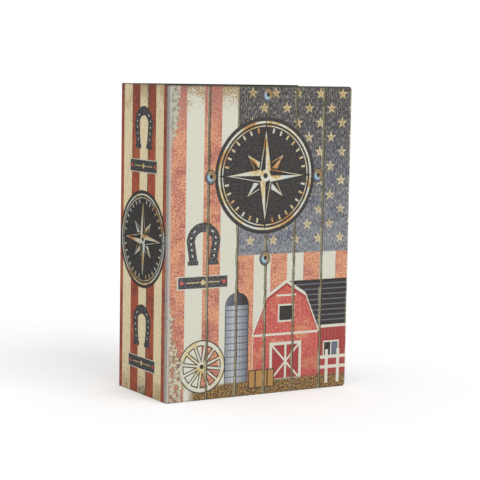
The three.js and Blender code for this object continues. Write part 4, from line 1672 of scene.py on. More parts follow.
class Repeater:
    """Geometry nodes that set copies of one part on points, or along a row."""

    ends = (("Geometry", "NodeSocketGeometry"), ("Part", "NodeSocketObject"),
            ("Finish", "NodeSocketMaterial"))
    row_sizes = (("Count", "NodeSocketInt"), ("First", "NodeSocketVector"), ("Step", "NodeSocketVector"),
                 ("Sway", "NodeSocketVector"), ("Seed", "NodeSocketInt"))

    def __init__(self) -> None:
        """Builds both trees."""
        self.on_points = self.tree("parts_on_points", ())
        self.in_row = self.tree("parts_in_row", self.row_sizes)

    def tree(self, name: str, sizes: Sequence[tuple[str, str]]) -> Tree:
        """One tree.

        Args:
            name: its name.
            sizes: inputs of a row; without them it takes the carrier's own points and drops the carrier.

        Returns:
            The tree.
        """
        tree = bpy.data.node_groups.new(name, "GeometryNodeTree")
        for label, kind in (*self.ends, *sizes):
            tree.interface.new_socket(label, in_out="INPUT", socket_type=kind)
        tree.interface.new_socket("Geometry", in_out="OUTPUT", socket_type="NodeSocketGeometry")
        graph = Graph(tree)
        source = graph.node("NodeGroupInput")
        carrier = source.outputs["Geometry"]
        part = graph.fill(graph.node("GeometryNodeObjectInfo"), Object=source.outputs["Part"])
        copies = graph.fill(graph.node("GeometryNodeInstanceOnPoints"), Instance=part.outputs["Geometry"],
                            Points=self.row_points(graph, source) if sizes else carrier)
        made = graph.fill(graph.node("GeometryNodeRealizeInstances"), Geometry=copies.outputs["Instances"])
        if sizes:
            both = graph.fill(graph.node("GeometryNodeJoinGeometry"), Geometry=carrier)
            made = graph.fill(both, Geometry=made.outputs["Geometry"])
        finish = graph.fill(graph.node("GeometryNodeSetMaterial"), Geometry=made.outputs["Geometry"],
                            Material=source.outputs["Finish"])
        graph.fill(graph.node("NodeGroupOutput"), Geometry=finish.outputs["Geometry"])
        return tree

    def row_points(self, graph: Graph, source: Node) -> Socket:
        """Points along a line, each moved a little at random.

        Args:
            graph: the tree's graph.
            source: its inputs.

        Returns:
            The points.
        """
        sizes = source.outputs
        line = graph.node("GeometryNodeMeshLine", mode="OFFSET", count_mode="TOTAL")
        graph.fill(line, Count=sizes["Count"], Start_Location=sizes["First"], Offset=sizes["Step"])
        back = graph.node("ShaderNodeVectorMath", operation="SCALE")
        graph.fill(back, Vector=sizes["Sway"], Scale=-1.0)
        chance = graph.node("FunctionNodeRandomValue", data_type="FLOAT_VECTOR")
        graph.fill(chance, Min=back.outputs[0], Max=sizes["Sway"], Seed=sizes["Seed"])
        moved = graph.node("GeometryNodeSetPosition")
        graph.fill(moved, Geometry=line.outputs["Mesh"], Offset=chance.outputs[0])
        return moved.outputs["Geometry"]

    def grow(self, carrier: Piece, part: Piece, finish: Material,
             **sizes: object) -> Piece:
        """Runs a tree on a carrier and keeps the plain mesh.

        Args:
            carrier: the piece that the copies join, or points that they replace.
            part: what is copied; it goes.
            finish: material of the result.
            **sizes: inputs of a row.

        Returns:
            The carrier.
        """
        modifier = carrier.modifiers.new("repeat", "NODES")
        modifier.node_group = self.in_row if sizes else self.on_points
        values = {"Part": part, "Finish": finish, **sizes}
        for item in modifier.node_group.interface.items_tree:
            if item.in_out == "INPUT" and item.name in values:
                modifier[item.identifier] = values[item.name]
        settle(carrier)
        bpy.data.objects.remove(part)
        return carrier


@dataclass
class SubAssembly:
    """What every sub-assembly needs: finishes, and the trees that repeat parts."""

    finishes: Finishes
    repeater: Repeater

    def add(self, piece: Piece, body: Body, slot: Slot, *nodes: str) -> None:
        """Dresses a finished piece, sets it on its body and lets it stand for CAD nodes.

        Args:
            piece: the piece.
            body: body that it rides on.
            slot: the record's slot.
            *nodes: nodes that it stands for.
        """
        self.finishes.dress(piece, slot)
        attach(piece, body.value)
        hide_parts(*nodes)
        log.info("%s: %d faces on %s", piece.name, len(piece.data.polygons), body.value)

    def at_nodes(self, name: str, part: Piece, body: Body, slot: Slot, node: str) -> None:
        """Copies of a part, one in the middle of each numbered node's box.

        Args:
            name: name of the piece.
            part: what is copied.
            body: body that it rides on.
            slot: the record's slot.
            node: the nodes' name without its number.
        """
        carrier = bmesh.new()
        nodes = numbered(node)
        for place in nodes:
            carrier.verts.new(Box.of(place).middle)
        piece = self.repeater.grow(keep(carrier, name), part, self.finishes.made[slot])
        self.add(piece, body, slot, *nodes)


def numbered(node: str) -> list[str]:
    """Names of the four nodes that are numbered from one."""
    return [f"{node}_{index}" for index in range(1, 5)]


@dataclass
class HingeCloth(SubAssembly):
    """Black cloth pasted across the inside of the fold, with a pleat that goes into the gap."""

    thick: float = 0.12 * MM
    lining_gap: float = 0.1 * MM
    pleat_end: float = 0.75 * MM
    spine_reach: float = 4.5 * MM
    end_inset: float = 0.6 * MM
    fold_steps: int = 6
    level_steps: int = 2

    def build(self) -> None:
        """Draws the cloth's path in plan and gives it its height and thickness."""
        cover, spine = Box.of("front_wrap"), Box.of("spine_wrap")
        middle_y = (cover.high.y + spine.low.y) / 2
        half_gap = (spine.low.y - cover.high.y) / 4
        path = self.path(cover, spine, middle_y, half_gap)
        low, height = cover.low.z + self.end_inset, cover.size.z - 2 * self.end_inset
        levels = [low + height * level / self.level_steps for level in range(self.level_steps + 1)]
        mesh = bmesh.new()
        rows = [[mesh.verts.new((place.x, place.y, level)) for place in path] for level in levels]
        for below, above in zip(rows, rows[1:]):
            for index in range(len(path) - 1):
                mesh.faces.new((below[index], below[index + 1], above[index + 1], above[index]))
        piece = keep(mesh, "hinge_cloth")
        wall = piece.modifiers.new("thickness", "SOLIDIFY")
        wall.thickness = self.thick
        wall.offset = 0.0
        self.finishes.dress(piece, Slot.LINING)
        settle(piece)
        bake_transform(piece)
        log.info("%s: %d faces bend at the fold", piece.name, len(piece.data.polygons))

    def path(self, cover: Box, spine: Box, middle_y: float, half_gap: float) -> list[Vector]:
        """The cloth seen from above.

        Args:
            cover: box of the front cover's wrap.
            spine: box of the spine's wrap.
            middle_y: middle of the gap between them.
            half_gap: distance of both sides of the pleat from it.

        Returns:
            Its points from the cover's lining, round the pleat, to the inside of the spine.
        """
        near, far = middle_y - half_gap, middle_y + half_gap
        turn_x = cover.low.x + self.pleat_end + half_gap
        wall = spine.high.x + self.thick
        start = Box.of("front_lining").low.x - self.lining_gap
        angles = [-QUARTER_TURN - step / self.fold_steps * math.pi for step in range(1, self.fold_steps)]
        pleat = [(turn_x + x, middle_y + y) for x, y in arc(half_gap, angles)]
        corners = [(start, near), (turn_x, near), *pleat, (turn_x, far), (wall - self.thick, far),
                   (wall, far + self.thick), (wall, spine.low.y + self.spine_reach)]
        return [Vector((x, y, 0)) for x, y in corners]


@dataclass
class PageBlock(SubAssembly):
    """Three dark strips of page edges round the box, with single leaves."""

    strips = (("fore_edge_pages", RIGHT, UP, 5), ("head_pages", UP, RIGHT, 8),
              ("tail_pages", (0, 0, -1), RIGHT, 13))
    leaf_count: int = 62
    leaf_share: float = 0.8
    core_inset: float = 0.7 * MM
    leaf_start: float = 0.05 * MM
    sway: float = 0.12 * MM
    edge_steps: int = 4

    def build(self) -> None:
        """Makes the three strips."""
        for strip in self.strips:
            self.strip(*strip)

    def strip(self, node: str, outward: Sequence[float], along: Sequence[float], seed: int) -> None:
        """One strip: a core with leaves that stand a little proud of it, each by its own amount.

        Args:
            node: node that it stands for.
            outward: direction that the page edges face.
            along: direction that the leaves run in.
            seed: start of the leaves' random places.
        """
        box = Box.of(node)
        out, run = Vector(outward), Vector(along)
        thick, length = abs(box.size.dot(out)), box.size.dot(run)
        deep = thick - 2 * self.sway
        pitch = box.size.y / self.leaf_count
        half = pitch * self.leaf_share / 2
        inner = box.middle - out * thick / 2
        turn = basis(out, INTO, run)
        core_end = length / 2 - self.core_inset
        core = prism(rectangle((0, 0), (deep - self.core_inset, box.size.y)), -core_end, core_end, turn)
        placed(core, (inner.x, box.low.y, inner.z))
        angles = [-QUARTER_TURN + step / self.edge_steps * math.pi for step in range(1, self.edge_steps)]
        edge = [(deep - half + x, y) for x, y in arc(half, angles)]
        profile = [(self.leaf_start, -half), (deep - half, -half), *edge, (deep - half, half),
                   (self.leaf_start, half)]
        leaf = keep(prism(profile, -length / 2, length / 2, turn), f"{node}_leaf")
        piece = self.repeater.grow(
            keep(core, f"{node}_leaves"), leaf, self.finishes.made[Slot.PAGES],
            Count=self.leaf_count, First=(inner.x, box.low.y + pitch / 2, inner.z), Step=(0.0, pitch, 0.0),
            Sway=tuple(abs(part) * self.sway for part in out), Seed=seed)
        self.add(piece, Body.BOOK, Slot.PAGES, node)


@dataclass
class SteelBox(SubAssembly):
    """The folded steel tray with its keeper, felt and floor screws."""

    arc_share = 0.3
    pan_head = ((0.0, 0.0), (0.45, 0.03), (0.75, 0.16), (0.93, 0.42), (1.0, 0.75), (1.0, 1.0))
    screw_steps = 32
    wall: float = 1.0 * MM
    corner: float = 3.0 * MM
    bend: float = 1.2 * MM
    rim_radius: float = 0.35 * MM
    felt_edge: float = 0.5 * MM
    screw_hole: float = 4.2 * MM
    head_radius: float = 3.5 * MM
    shank_radius: float = 1.5 * MM
    head_thick: float = 1.6 * MM
    recess_width: float = 0.9 * MM
    recess_length: float = 4.2 * MM
    recess_depth: float = 1.0 * MM
    keeper_thick: float = 1.2 * MM
    keeper_edge: float = 0.35 * MM

    def build(self) -> None:
        """Makes the box and what is fixed in it."""
        self.tray()
        self.felt()
        self.screws()
        self.keeper()

    def tray(self) -> None:
        """Walls, rim and floor, lofted from the outside in."""
        box = Box.of("box_body")
        low, rim_arc = box.low.y, self.rim_radius * self.arc_share
        floor, rim = box.loop(box.high.y, self.corner), box.loop(low, self.corner)
        inner_rim = rim.inset(self.wall, low)
        loops = fillet(floor, self.bend, -1, True)
        loops += [rim.inset(0, low + self.rim_radius), rim.inset(rim_arc, low + rim_arc),
                  rim.inset(self.rim_radius, low), rim.inset(self.wall - self.rim_radius, low),
                  inner_rim.inset(-rim_arc, low + rim_arc), inner_rim.inset(0, low + self.rim_radius)]
        loops += fillet(floor.inset(self.wall, box.high.y - self.wall), self.bend / 2, -1, False)
        self.add(settle(keep(lofted(loops), "box_tray")), Body.BOOK, Slot.STEEL, "box_body")

    def felt(self) -> None:
        """The felt on the floor, with a hole over each screw."""
        box = Box.of("floor_pad")
        front = box.loop(box.low.y, self.corner)
        loops = [*fillet(front, self.felt_edge, 1, True), front.inset(0, box.high.y)]
        screws = numbered("floor_screw")
        holes = [drill(self.screw_hole, box.low.y, box.high.y, Box.of(screw).middle) for screw in screws]
        piece = carved(settle(keep(lofted(loops), "floor_felt")), *holes)
        self.add(piece, Body.BOOK, Slot.FELT, "floor_pad")
        flat = (box.size.x, box.size.z)

    def screws(self) -> None:
        """Pan head screws with a cross recess."""
        part = self.cross_screw("floor_screw_part", Box.of("floor_screw_1").size.y / 2, self.head_radius,
                                self.shank_radius, self.head_thick)
        self.at_nodes("floor_screws", part, Body.BOOK, Slot.PLATED, "floor_screw")

    def cross_screw(self, name: str, half: float, head: float, shank: float, thick: float) -> Piece:
        """A screw along y about its own middle, its head towards the front.

        Args:
            name: name of the object.
            half: half its length.
            head: radius of its head.
            shank: radius of its shank.
            thick: thickness of its head.

        Returns:
            The screw.
        """
        profile = [(head * wide, thick * deep - half) for wide, deep in self.pan_head]
        profile += [(shank, thick - half), (shank, half - shank), (0, half)]
        screw = settle(keep(turned(profile, self.screw_steps), name))
        reach, slot = self.recess_length / 2, self.recess_width / 2
        arms = [prism(rectangle((-reach, -slot), (reach, slot)), -half - OVERRUN, self.recess_depth - half,
                      basis(first, second, INTO))
                for first, second in ((RIGHT, UP), (UP, RIGHT))]
        return carved(screw, *arms)

    def keeper(self) -> None:
        """The bent angle that the cam turns under."""
        box = Box.of("lock_keeper")
        wall_x, plate_y = box.high.x - self.keeper_thick, box.high.y - self.keeper_thick
        outline = [(box.high.x, box.low.y), (box.high.x, box.high.y), (box.low.x, box.high.y),
                   (box.low.x, plate_y), (wall_x, plate_y), (wall_x, box.low.y)]
        piece = keep(prism(outline, box.low.z, box.high.z, Matrix.Identity(4)), "keeper_angle")
        self.add(soften(piece, self.keeper_edge), Body.BOOK, Slot.STEEL, "lock_keeper")


@dataclass
class InnerLid(SubAssembly):
    """The pressed lid with its turned rim and raised field."""

    bulge = ((0.0, 0.0), (0.15, 0.04), (0.5, 0.5), (0.85, 0.96), (1.0, 1.0))
    thick: float = 1.0 * MM
    corner: float = 4.4 * MM
    edge: float = 1.6 * MM
    rim_radius: float = 0.3 * MM
    rise: float = 0.6 * MM
    slope: float = 1.8 * MM
    field_corner: float = 6.0 * MM
    hinge_overrun: float = 8.0 * MM
    leaf_width: float = 12.0 * MM
    field_margin: float = 14.0 * MM
    lock_hole: float = 6.3 * MM

    def build(self) -> None:
        """Lofts the lid a little too wide, then trims it square on the hinge side."""
        box, lock = Box.of("lid_panel"), Box.of("lock_body")
        top = box.low.y + self.rise
        under, end = top + self.thick, box.high.y
        outer = Loop(box.low.x - self.hinge_overrun, box.high.x, box.low.z, box.high.z, top,
                     (0.0, self.corner, self.corner, 0.0))
        field = Loop(box.low.x + self.leaf_width + self.field_margin, lock.low.x - self.field_margin,
                     box.low.z + self.field_margin, box.high.z - self.field_margin, top,
                     (self.field_corner,) * 4)
        loops = [field.inset(self.slope * share, top - self.rise * height)
                 for share, height in reversed(self.bulge)]
        loops += fillet(outer, self.edge, 1, True)
        rim = self.rim_radius
        loops += [outer.inset(0, end - rim), outer.inset(rim, end), outer.inset(self.thick - rim, end),
                  outer.inset(self.thick, end - rim)]
        loops += fillet(outer.inset(self.thick, under), self.edge - self.thick, 1, False)
        loops += [field.inset(self.slope * share, under - self.rise * height) for share, height in self.bulge]
        mesh = lofted(loops)
        bmesh.ops.bisect_plane(mesh, geom=[*mesh.verts, *mesh.edges, *mesh.faces], dist=CUT_TOUCH,
                               plane_co=(box.low.x, 0, 0), plane_no=(-1, 0, 0), clear_outer=True)
        bmesh.ops.contextual_create(mesh, geom=[edge for edge in mesh.edges if edge.is_boundary])
        bmesh.ops.recalc_face_normals(mesh, faces=mesh.faces)
        lid = carved(settle(keep(mesh, "lid_pressing")), drill(self.lock_hole, top, under, lock.middle))
        self.add(lid, Body.LID, Slot.STEEL, "lid_panel")


@dataclass
class PianoHinge(SubAssembly):
    """Two leaves rolled round a pin by turns, riveted to the box and to the lid."""

    pin_end = ((0.0, 0.0), (0.6, 0.12), (0.92, 0.5), (1.0, 0.95))
    dome_steps = 6
    pin_steps, rivet_steps = 24, 28
    knuckle_count: int = 9
    knuckle_gap: float = 0.4 * MM
    barrel: float = 2.2 * MM
    leaf_thick: float = 0.8 * MM
    leaf_start: float = 2.6 * MM
    curl_overlap: float = 0.3 * MM
    seam_angle: float = math.radians(395)
    curl_steps: int = 28
    edge: float = 0.15 * MM
    knuckle_edge: float = 0.1 * MM
    knuckle_edge_angle: float = 60.0
    pin_shaft: float = 1.0 * MM
    pin_head: float = 1.8 * MM
    pin_dome: float = 0.8 * MM
    rivet_head: float = 3.0 * MM
    rivet_shank: float = 1.5 * MM
    rivet_tail: float = 2.3 * MM
    rivet_rise: float = 1.0 * MM
    rivet_rim: float = 0.02 * MM
    tail_thick: float = 1.2 * MM
    tail_edge: float = 0.3 * MM

    def build(self) -> None:
        """Makes both leaves, the pin and the rivets."""
        pin, fixed, moving = Box.of("hinge_pin"), Box.of("hinge_box_leaf"), Box.of("hinge_lid_leaf")
        axis = Vector((pin.middle.x, pin.middle.y, 0))
        self.length = fixed.size.z
        self.start = fixed.low.z
        self.leaf("box_leaf_rolled", Body.BOOK, "hinge_box_leaf", 0, basis(INTO, RIGHT, UP, axis),
                  fixed.high.y - axis.y)
        self.leaf("lid_leaf_rolled", Body.LID, "hinge_lid_leaf", 1, basis(RIGHT, (0, -1, 0), UP, axis),
                  moving.high.x - axis.x)
        self.pin(axis, pin)
        self.rivets("box_leaf_rivets", "box_leaf_rivet", Body.BOOK, RIGHT)
        self.rivets("lid_leaf_rivets", "lid_leaf_rivet", Body.LID, INTO)

    def leaf(self, name: str, body: Body, node: str, parity: int, turn: Matrix, reach: float) -> None:
        """A flat leaf with its knuckles: one curled outline, repeated along the pin.

        Args:
            name: name of the piece.
            body: body that it rides on.
            node: CAD node that it stands for.
            parity: 0 for the leaf with the first knuckle, 1 for the other.
            turn: takes (along the leaf, out of its face, up) to their directions.
            reach: distance of the leaf's far edge from the pin.
        """
        length = (self.length - (self.knuckle_count - 1) * self.knuckle_gap) / self.knuckle_count
        pitch = length + self.knuckle_gap
        outer, inner = self.barrel, self.barrel - self.leaf_thick
        overlap = self.leaf_start + self.curl_overlap
        angles = [QUARTER_TURN + (self.seam_angle - QUARTER_TURN) * step / self.curl_steps
                  for step in range(self.curl_steps + 1)]
        curl = [(overlap, outer), *arc(outer, angles), *arc(inner, reversed(angles)), (overlap, inner)]
        knuckle = keep(prism(curl, 0, length, turn), f"{name}_knuckle")
        soften(knuckle, self.knuckle_edge, 2, self.knuckle_edge_angle)
        flat = rectangle((self.leaf_start, inner), (reach, outer))
        plate = soften(keep(prism(flat, self.start, self.start + self.length, turn), name), self.edge, 2)
        piece = self.repeater.grow(
            plate, knuckle, self.finishes.made[Slot.STEEL],
            Count=(self.knuckle_count + 1 - parity) // 2, First=(0.0, 0.0, self.start + parity * pitch),
            Step=(0.0, 0.0, 2 * pitch), Sway=(0.0, 0.0, 0.0), Seed=1)
        self.add(piece, body, Slot.STEEL, node)

    def pin(self, axis: Vector, box: Box) -> None:
        """The pin with its domed ends.

        Args:
            axis: its foot on the ground plane.
            box: box of its node.
        """
        low, high = box.low.z, box.high.z
        profile = [(self.pin_head * wide, low + self.pin_dome * deep) for wide, deep in self.pin_end]
        profile.append((self.pin_shaft, low + self.pin_dome))
        mirrored = [(radius, low + high - along) for radius, along in reversed(profile)]
        mesh = turned(profile + mirrored, self.pin_steps)
        bmesh.ops.transform(mesh, matrix=basis(RIGHT, UP, (0, -1, 0), axis), verts=mesh.verts)
        self.add(settle(keep(mesh, "pin_domed")), Body.BOOK, Slot.PLATED, "hinge_pin")

    def rivets(self, name: str, node: str, body: Body, inward: Sequence[float]) -> None:
        """Round head rivets: head on the leaf, set tail inside.

        Args:
            name: name of the piece.
            node: the nodes' name without its number.
            body: body that they ride on.
            inward: direction from head to tail.
        """
        half = abs(Box.of(f"{node}_1").size.dot(Vector(inward))) / 2
        under, set_at, edge = self.rivet_rise + self.rivet_rim - half, half - self.tail_thick, self.tail_edge
        angles = [step / self.dome_steps * QUARTER_TURN for step in range(self.dome_steps + 1)]
        profile = [(self.rivet_head * math.sin(angle), self.rivet_rise * (1 - math.cos(angle)) - half)
                   for angle in angles]
        profile += [(self.rivet_head, under), (self.rivet_shank, under), (self.rivet_shank, set_at),
                    (self.rivet_tail, set_at), (self.rivet_tail, half - edge), (self.rivet_tail - edge, half),
                    (0, half)]
        mesh = turned(profile, self.rivet_steps)
        if inward[0]:
            bmesh.ops.transform(mesh, matrix=basis(INTO, RIGHT, (0, 0, -1)), verts=mesh.verts)
            bmesh.ops.recalc_face_normals(mesh, faces=mesh.faces)
        self.at_nodes(name, settle(keep(mesh, f"{name}_part")), body, Slot.PLATED, node)


@dataclass
class CamLock(SubAssembly):
    """The key lock: threaded housing, nut, plug with its keyway, cam and screw."""

    round_steps = 48
    edge_steps, tip_steps = 5, 8
    dish_share = 0.6
    key_outline = ((-0.5, -0.5, 0), (0.5, -0.5, 0), (0.5, -0.12, 0), (0.5, -0.06, 1), (0.5, 0.12, 1),
                   (0.5, 0.2, 0), (0.5, 0.5, 0), (-0.5, 0.5, 0), (-0.5, 0.08, 0), (-0.5, 0.02, 1),
                   (-0.5, -0.14, 1), (-0.5, -0.22, 0))
    key_step = 0.42
    face_thick: float = 1.8 * MM
    face_edge: float = 0.9 * MM
    face_ring: tuple[float, float] = (2.1 * MM, 2.6 * MM)
    dish: float = 0.35 * MM
    bore: float = 4.35 * MM
    bore_edge: float = 0.35 * MM
    smooth: float = 25.0
    plug: float = 4.2 * MM
    plug_inset: float = 0.15 * MM
    plug_edge: tuple[float, float] = (0.4 * MM, 0.3 * MM)
    barrel: float = 6.0 * MM
    flat_half: float = 5.0 * MM
    thread_pitch: float = 1.0 * MM
    thread_depth: float = 0.4 * MM
    nut_flats: float = 16.0 * MM
    nut_edge: float = 0.35 * MM
    nut_clearance: float = 0.2 * MM
    keyway: tuple[float, float, float] = (1.5 * MM, 6.2 * MM, 8.0 * MM)
    cam_heel: float = 4.5 * MM
    cam_tip: float = 2.0 * MM
    cam_edge: float = 0.2 * MM
    cam_edge_angle: float = 50.0
    cam_clearance: float = 0.1 * MM
    tail: float = 2.5 * MM
    tail_overlap: float = 0.01 * MM
    screw_sizes: tuple[float, float, float] = (3.4 * MM, 1.4 * MM, 1.8 * MM)

    def build(self, box: SteelBox) -> None:
        """Makes the lock's five pieces about the axis of its housing.

        Args:
            box: maker of the cross recessed screws.
        """
        housing = Box.of("lock_body")
        self.axis = Vector((housing.middle.x, 0, housing.middle.z))
        self.face = housing.low.y
        self.end = housing.high.y
        self.radius = housing.size.x / 2
        self.housing()
        self.nut()
        self.core()
        self.cam()
        self.screw(box)

    def housing(self) -> None:
        """A dished face over a threaded barrel with two flats."""
        face, rim, edge, root = self.face, self.radius, self.face_edge, self.barrel - self.thread_depth
        dish, seat = face + self.dish * self.dish_share, face + self.face_thick
        crest, foot = self.face_ring
        profile = [(self.bore, self.end), (self.bore, face + self.dish), (self.bore + self.bore_edge, dish),
                   (rim - foot, dish), (rim - crest, face), (rim - edge, face)]
        for step in range(1, self.edge_steps + 1):
            angle = step / self.edge_steps * QUARTER_TURN
            profile.append((rim - edge * (1 - math.sin(angle)), face + edge * (1 - math.cos(angle))))
        profile += [(rim, seat), (root, seat)]
        along = seat + self.thread_pitch
        while along < self.end - self.thread_pitch:
            profile += [(root, along), (self.barrel, along + self.thread_pitch / 2)]
            along += self.thread_pitch
        profile += [(root, along), (root, self.end), (self.bore, self.end)]
        piece = keep(placed(turned(profile, self.round_steps), self.axis), "lock_housing")
        flats = []
        for side in (-1, 1):
            near, far = sorted((side * self.flat_half, side * (self.barrel + OVERRUN)))
            block = prism(rectangle((near, -self.radius), (far, self.radius)), seat, self.end + OVERRUN)
            flats.append(placed(block, self.axis))
        self.add(carved(settle(piece, self.smooth), *flats), Body.LID, Slot.LOCK, "lock_body")

    def nut(self) -> None:
        """A hexagonal nut under the lid."""
        box = Box.of("lock_nut")
        sides = 6
        reach = self.nut_flats / 2 / math.cos(math.pi / sides)
        mesh = prism(arc(reach, [math.tau * side / sides for side in range(sides)]), box.low.y, box.high.y)
        piece = soften(keep(placed(mesh, self.axis), "lock_hex_nut"), self.nut_edge)
        hole = drill(self.barrel + self.nut_clearance, box.low.y, box.high.y, self.axis, self.round_steps)
        self.add(carved(piece, hole), Body.LID, Slot.PLATED, "lock_nut")

    def core(self) -> None:
        """The plug: a recessed face with a stepped keyway, and a square tail."""
        box = Box.of("lock_plug")
        face = box.low.y + self.plug_inset
        aside, deep = self.plug_edge
        profile = [(0, face), (self.plug - aside, face), (self.plug, face + deep), (self.plug, self.end),
                   (0, self.end)]
        piece = settle(keep(placed(turned(profile, self.round_steps), self.axis), "plug_with_keyway"))
        tail = prism(self.square(self.tail), self.end - self.tail_overlap, box.high.y)
        joined(piece, "UNION", placed(tail, self.axis))
        width, height, depth = self.keyway
        outline = [(width * (across + self.key_step * stepped), height * up)
                   for across, up, stepped in self.key_outline]
        slot = placed(prism(outline, face - OVERRUN, face + depth), self.axis)
        self.add(carved(piece, slot), Body.CORE, Slot.LOCK, "lock_plug")

    def square(self, half: float) -> list[Point]:
        """A square about zero."""
        return rectangle((-half, -half), (half, half))

    def cam(self) -> None:
        """The flat cam with round ends and a square hole."""
        box = Box.of("lock_cam")
        half, tip, heel = box.size.x / 2, self.cam_tip, self.cam_heel
        low, high = box.low.z - self.axis.z + heel, box.high.z - self.axis.z - tip
        corners = ((half - tip, high, tip), (tip - half, high, tip),
                   (heel - half, low, heel), (half - heel, low, heel))
        outline = []
        for first, (x, z, radius) in enumerate(corners):
            angles = [(first + step / self.tip_steps) * QUARTER_TURN for step in range(self.tip_steps + 1)]
            outline += [(x + aside, z + up) for aside, up in arc(radius, angles)]
        piece = keep(placed(prism(outline, box.low.y, box.high.y), self.axis), "cam_plate")
        soften(piece, self.cam_edge, 2, self.cam_edge_angle)
        hole = prism(self.square(self.tail + self.cam_clearance), box.low.y - OVERRUN, box.high.y + OVERRUN)
        self.add(carved(piece, placed(hole, self.axis)), Body.CORE, Slot.PLATED, "lock_cam")

    def screw(self, box: SteelBox) -> None:
        """The screw that holds the cam, its head towards the box's floor.

        Args:
            box: maker of the cross recessed screws.
        """
        node = Box.of("cam_screw")
        screw = box.cross_screw("cam_cross_screw", node.size.y / 2, *self.screw_sizes)
        screw.data.transform(Matrix.Translation(node.middle) @ Matrix.Rotation(math.pi, 4, "Z"))
        self.add(screw, Body.CORE, Slot.PLATED, "cam_screw")


@dataclass
class CanvasCase(SubAssembly):
    """The printed sheet round the three boards, one piece, cut across the front cover's fold where the real
    sheet bends.
    """

    corner_steps, spine_steps, edge_steps = 6, 8, 4
    long_edge = 4.0
    straight = 0.9
    level = 0.98
    sharp: float = math.radians(50)
    sheet_thick: float = 0.5 * MM
    turn_in: float = 15 * MM
    spine_radius: float = 1.5 * MM
    edge_radius: float = 0.7 * MM
    corner_radius: float = 2.5 * MM
    fold_slack: float = 0.03 * MM
    fold_cuts: int = 3

    def __post_init__(self) -> None:
        """Takes the covers' places from the frame."""
        front, spine, back = Box.of("front_wrap"), Box.of("spine_wrap"), Box.of("back_wrap")
        self.left = front.low.x
        self.right = front.high.x
        self.top = front.high.z
        self.front = front.low.y
        self.front_inner = front.high.y
        self.spine_start = spine.low.y
        self.spine_end = spine.high.y
        self.spine_inner = spine.high.x
        self.back_inner = back.low.y
        self.back = back.high.y
        self.width = self.right - self.left
        self.thick = self.back - self.front

    def build(self) -> None:
        """Makes the sheet with cuts across the fold, gives it its flat map, thickness and materials, and
        hides the wraps that it stands for.
        """
        mesh = self.outer_skin()
        self.open_up(mesh)
        self.turn_in_edges(mesh)
        self.map_flat(mesh)
        area = sum(face.calc_area() for face in mesh.faces)
        piece = keep(mesh, "cover_canvas")
        wall = piece.modifiers.new("thickness", "SOLIDIFY")
        wall.thickness = self.sheet_thick
        wall.offset = -1.0
        wall.use_even_offset = True
        for material in self.finishes.sides:
            piece.data.materials.append(material)
        settle(piece)
        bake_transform(piece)
        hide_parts("front_wrap", "spine_wrap", "back_wrap")
        rim = self.front_inner - self.front + self.turn_in
        2 * (self.width + rim) + self.thick
        log.info("%s: %d faces bend at the fold", piece.name, len(piece.data.polygons))

    def outer_skin(self) -> Mesh:
        """The closed book's outside with rounded edges, cut where the fold and the boards end.

        Returns:
            The mesh.
        """
        mesh = bmesh.new()
        bmesh.ops.create_cube(mesh, size=1.0)
        bmesh.ops.scale(mesh, vec=(self.width, self.thick, self.top), verts=mesh.verts)
        placed(mesh, ((self.left + self.right) / 2, (self.front + self.back) / 2, self.top / 2))
        self.round_edges(mesh, self.corner_radius, self.corner_steps,
                         lambda a, b: self.along(a, b, 1) and a.x > 0)
        self.round_edges(mesh, self.spine_radius, self.spine_steps,
                         lambda a, b: self.along(a, b, 2) and a.x < 0)
        self.round_edges(mesh, self.edge_radius, self.edge_steps, lambda a, b: True)
        step = (self.spine_start - self.front_inner) / (self.fold_cuts + 1)
        fold = [self.front_inner + index * step for index in range(self.fold_cuts + 2)]
        for depth in (*fold, self.spine_end, self.back_inner):
            self.cut(mesh, (0, depth, 0), INTO)
        self.cut(mesh, (self.spine_inner, 0, 0), RIGHT)
        return mesh

    def along(self, a: Vector, b: Vector, axis: int) -> bool:
        """Whether an edge runs along one axis and is a long one.

        Args:
            a: one end of the edge.
            b: its other end.
            axis: number of the axis.

        Returns:
            True for such an edge.
        """
        step = b - a
        long = step.length > self.long_edge * self.corner_radius
        return long and abs(step[axis]) > self.straight * step.length

    def round_edges(self, mesh: Mesh, radius: float, segments: int,
                    wanted: Callable[[Vector, Vector], bool]) -> None:
        """Rounds sharp edges.

        Args:
            mesh: the mesh.
            radius: radius of the rounding.
            segments: steps across it.
            wanted: tells from an edge's two ends whether it is rounded.
        """
        edges = [edge for edge in mesh.edges
                 if edge.calc_face_angle(0.0) > self.sharp and wanted(edge.verts[0].co, edge.verts[1].co)]
        bmesh.ops.bevel(mesh, geom=edges, offset=radius, offset_type="OFFSET", segments=segments,
                        profile=0.5, affect="EDGES", clamp_overlap=False)

    def cut(self, mesh: Mesh, place: Sequence[float], normal: Sequence[float],
            faces: Iterable[Face] | None = None) -> None:
        """Adds the edges where a plane meets the mesh.

        Args:
            mesh: the mesh.
            place: a point of the plane.
            normal: direction that it faces.
            faces: faces that are cut, or None for all.
        """
        if faces is None:
            geometry = [*mesh.verts, *mesh.edges, *mesh.faces]
        else:
            edges = {edge for face in faces for edge in face.edges}
            verts = {vert for face in faces for vert in face.verts}
            geometry = [*verts, *edges, *faces]
        bmesh.ops.bisect_plane(mesh, geom=geometry, dist=CUT_TOUCH, plane_co=place, plane_no=normal)

    def open_up(self, mesh: Mesh) -> None:
        """Takes away the closed book's faces that the sheet doesn't have.

        Args:
            mesh: the sheet, with the closed book's faces.
        """
        unwanted = []
        for face in mesh.faces:
            middle = face.calc_center_median()
            if middle.y < self.front_inner or middle.y > self.back_inner:
                continue
            in_fold = middle.y < self.spine_start or middle.y > self.spine_end
            if middle.x > self.spine_inner or (in_fold and abs(face.normal.z) > self.level):
                unwanted.append(face)
        bmesh.ops.delete(mesh, geom=unwanted, context="FACES")

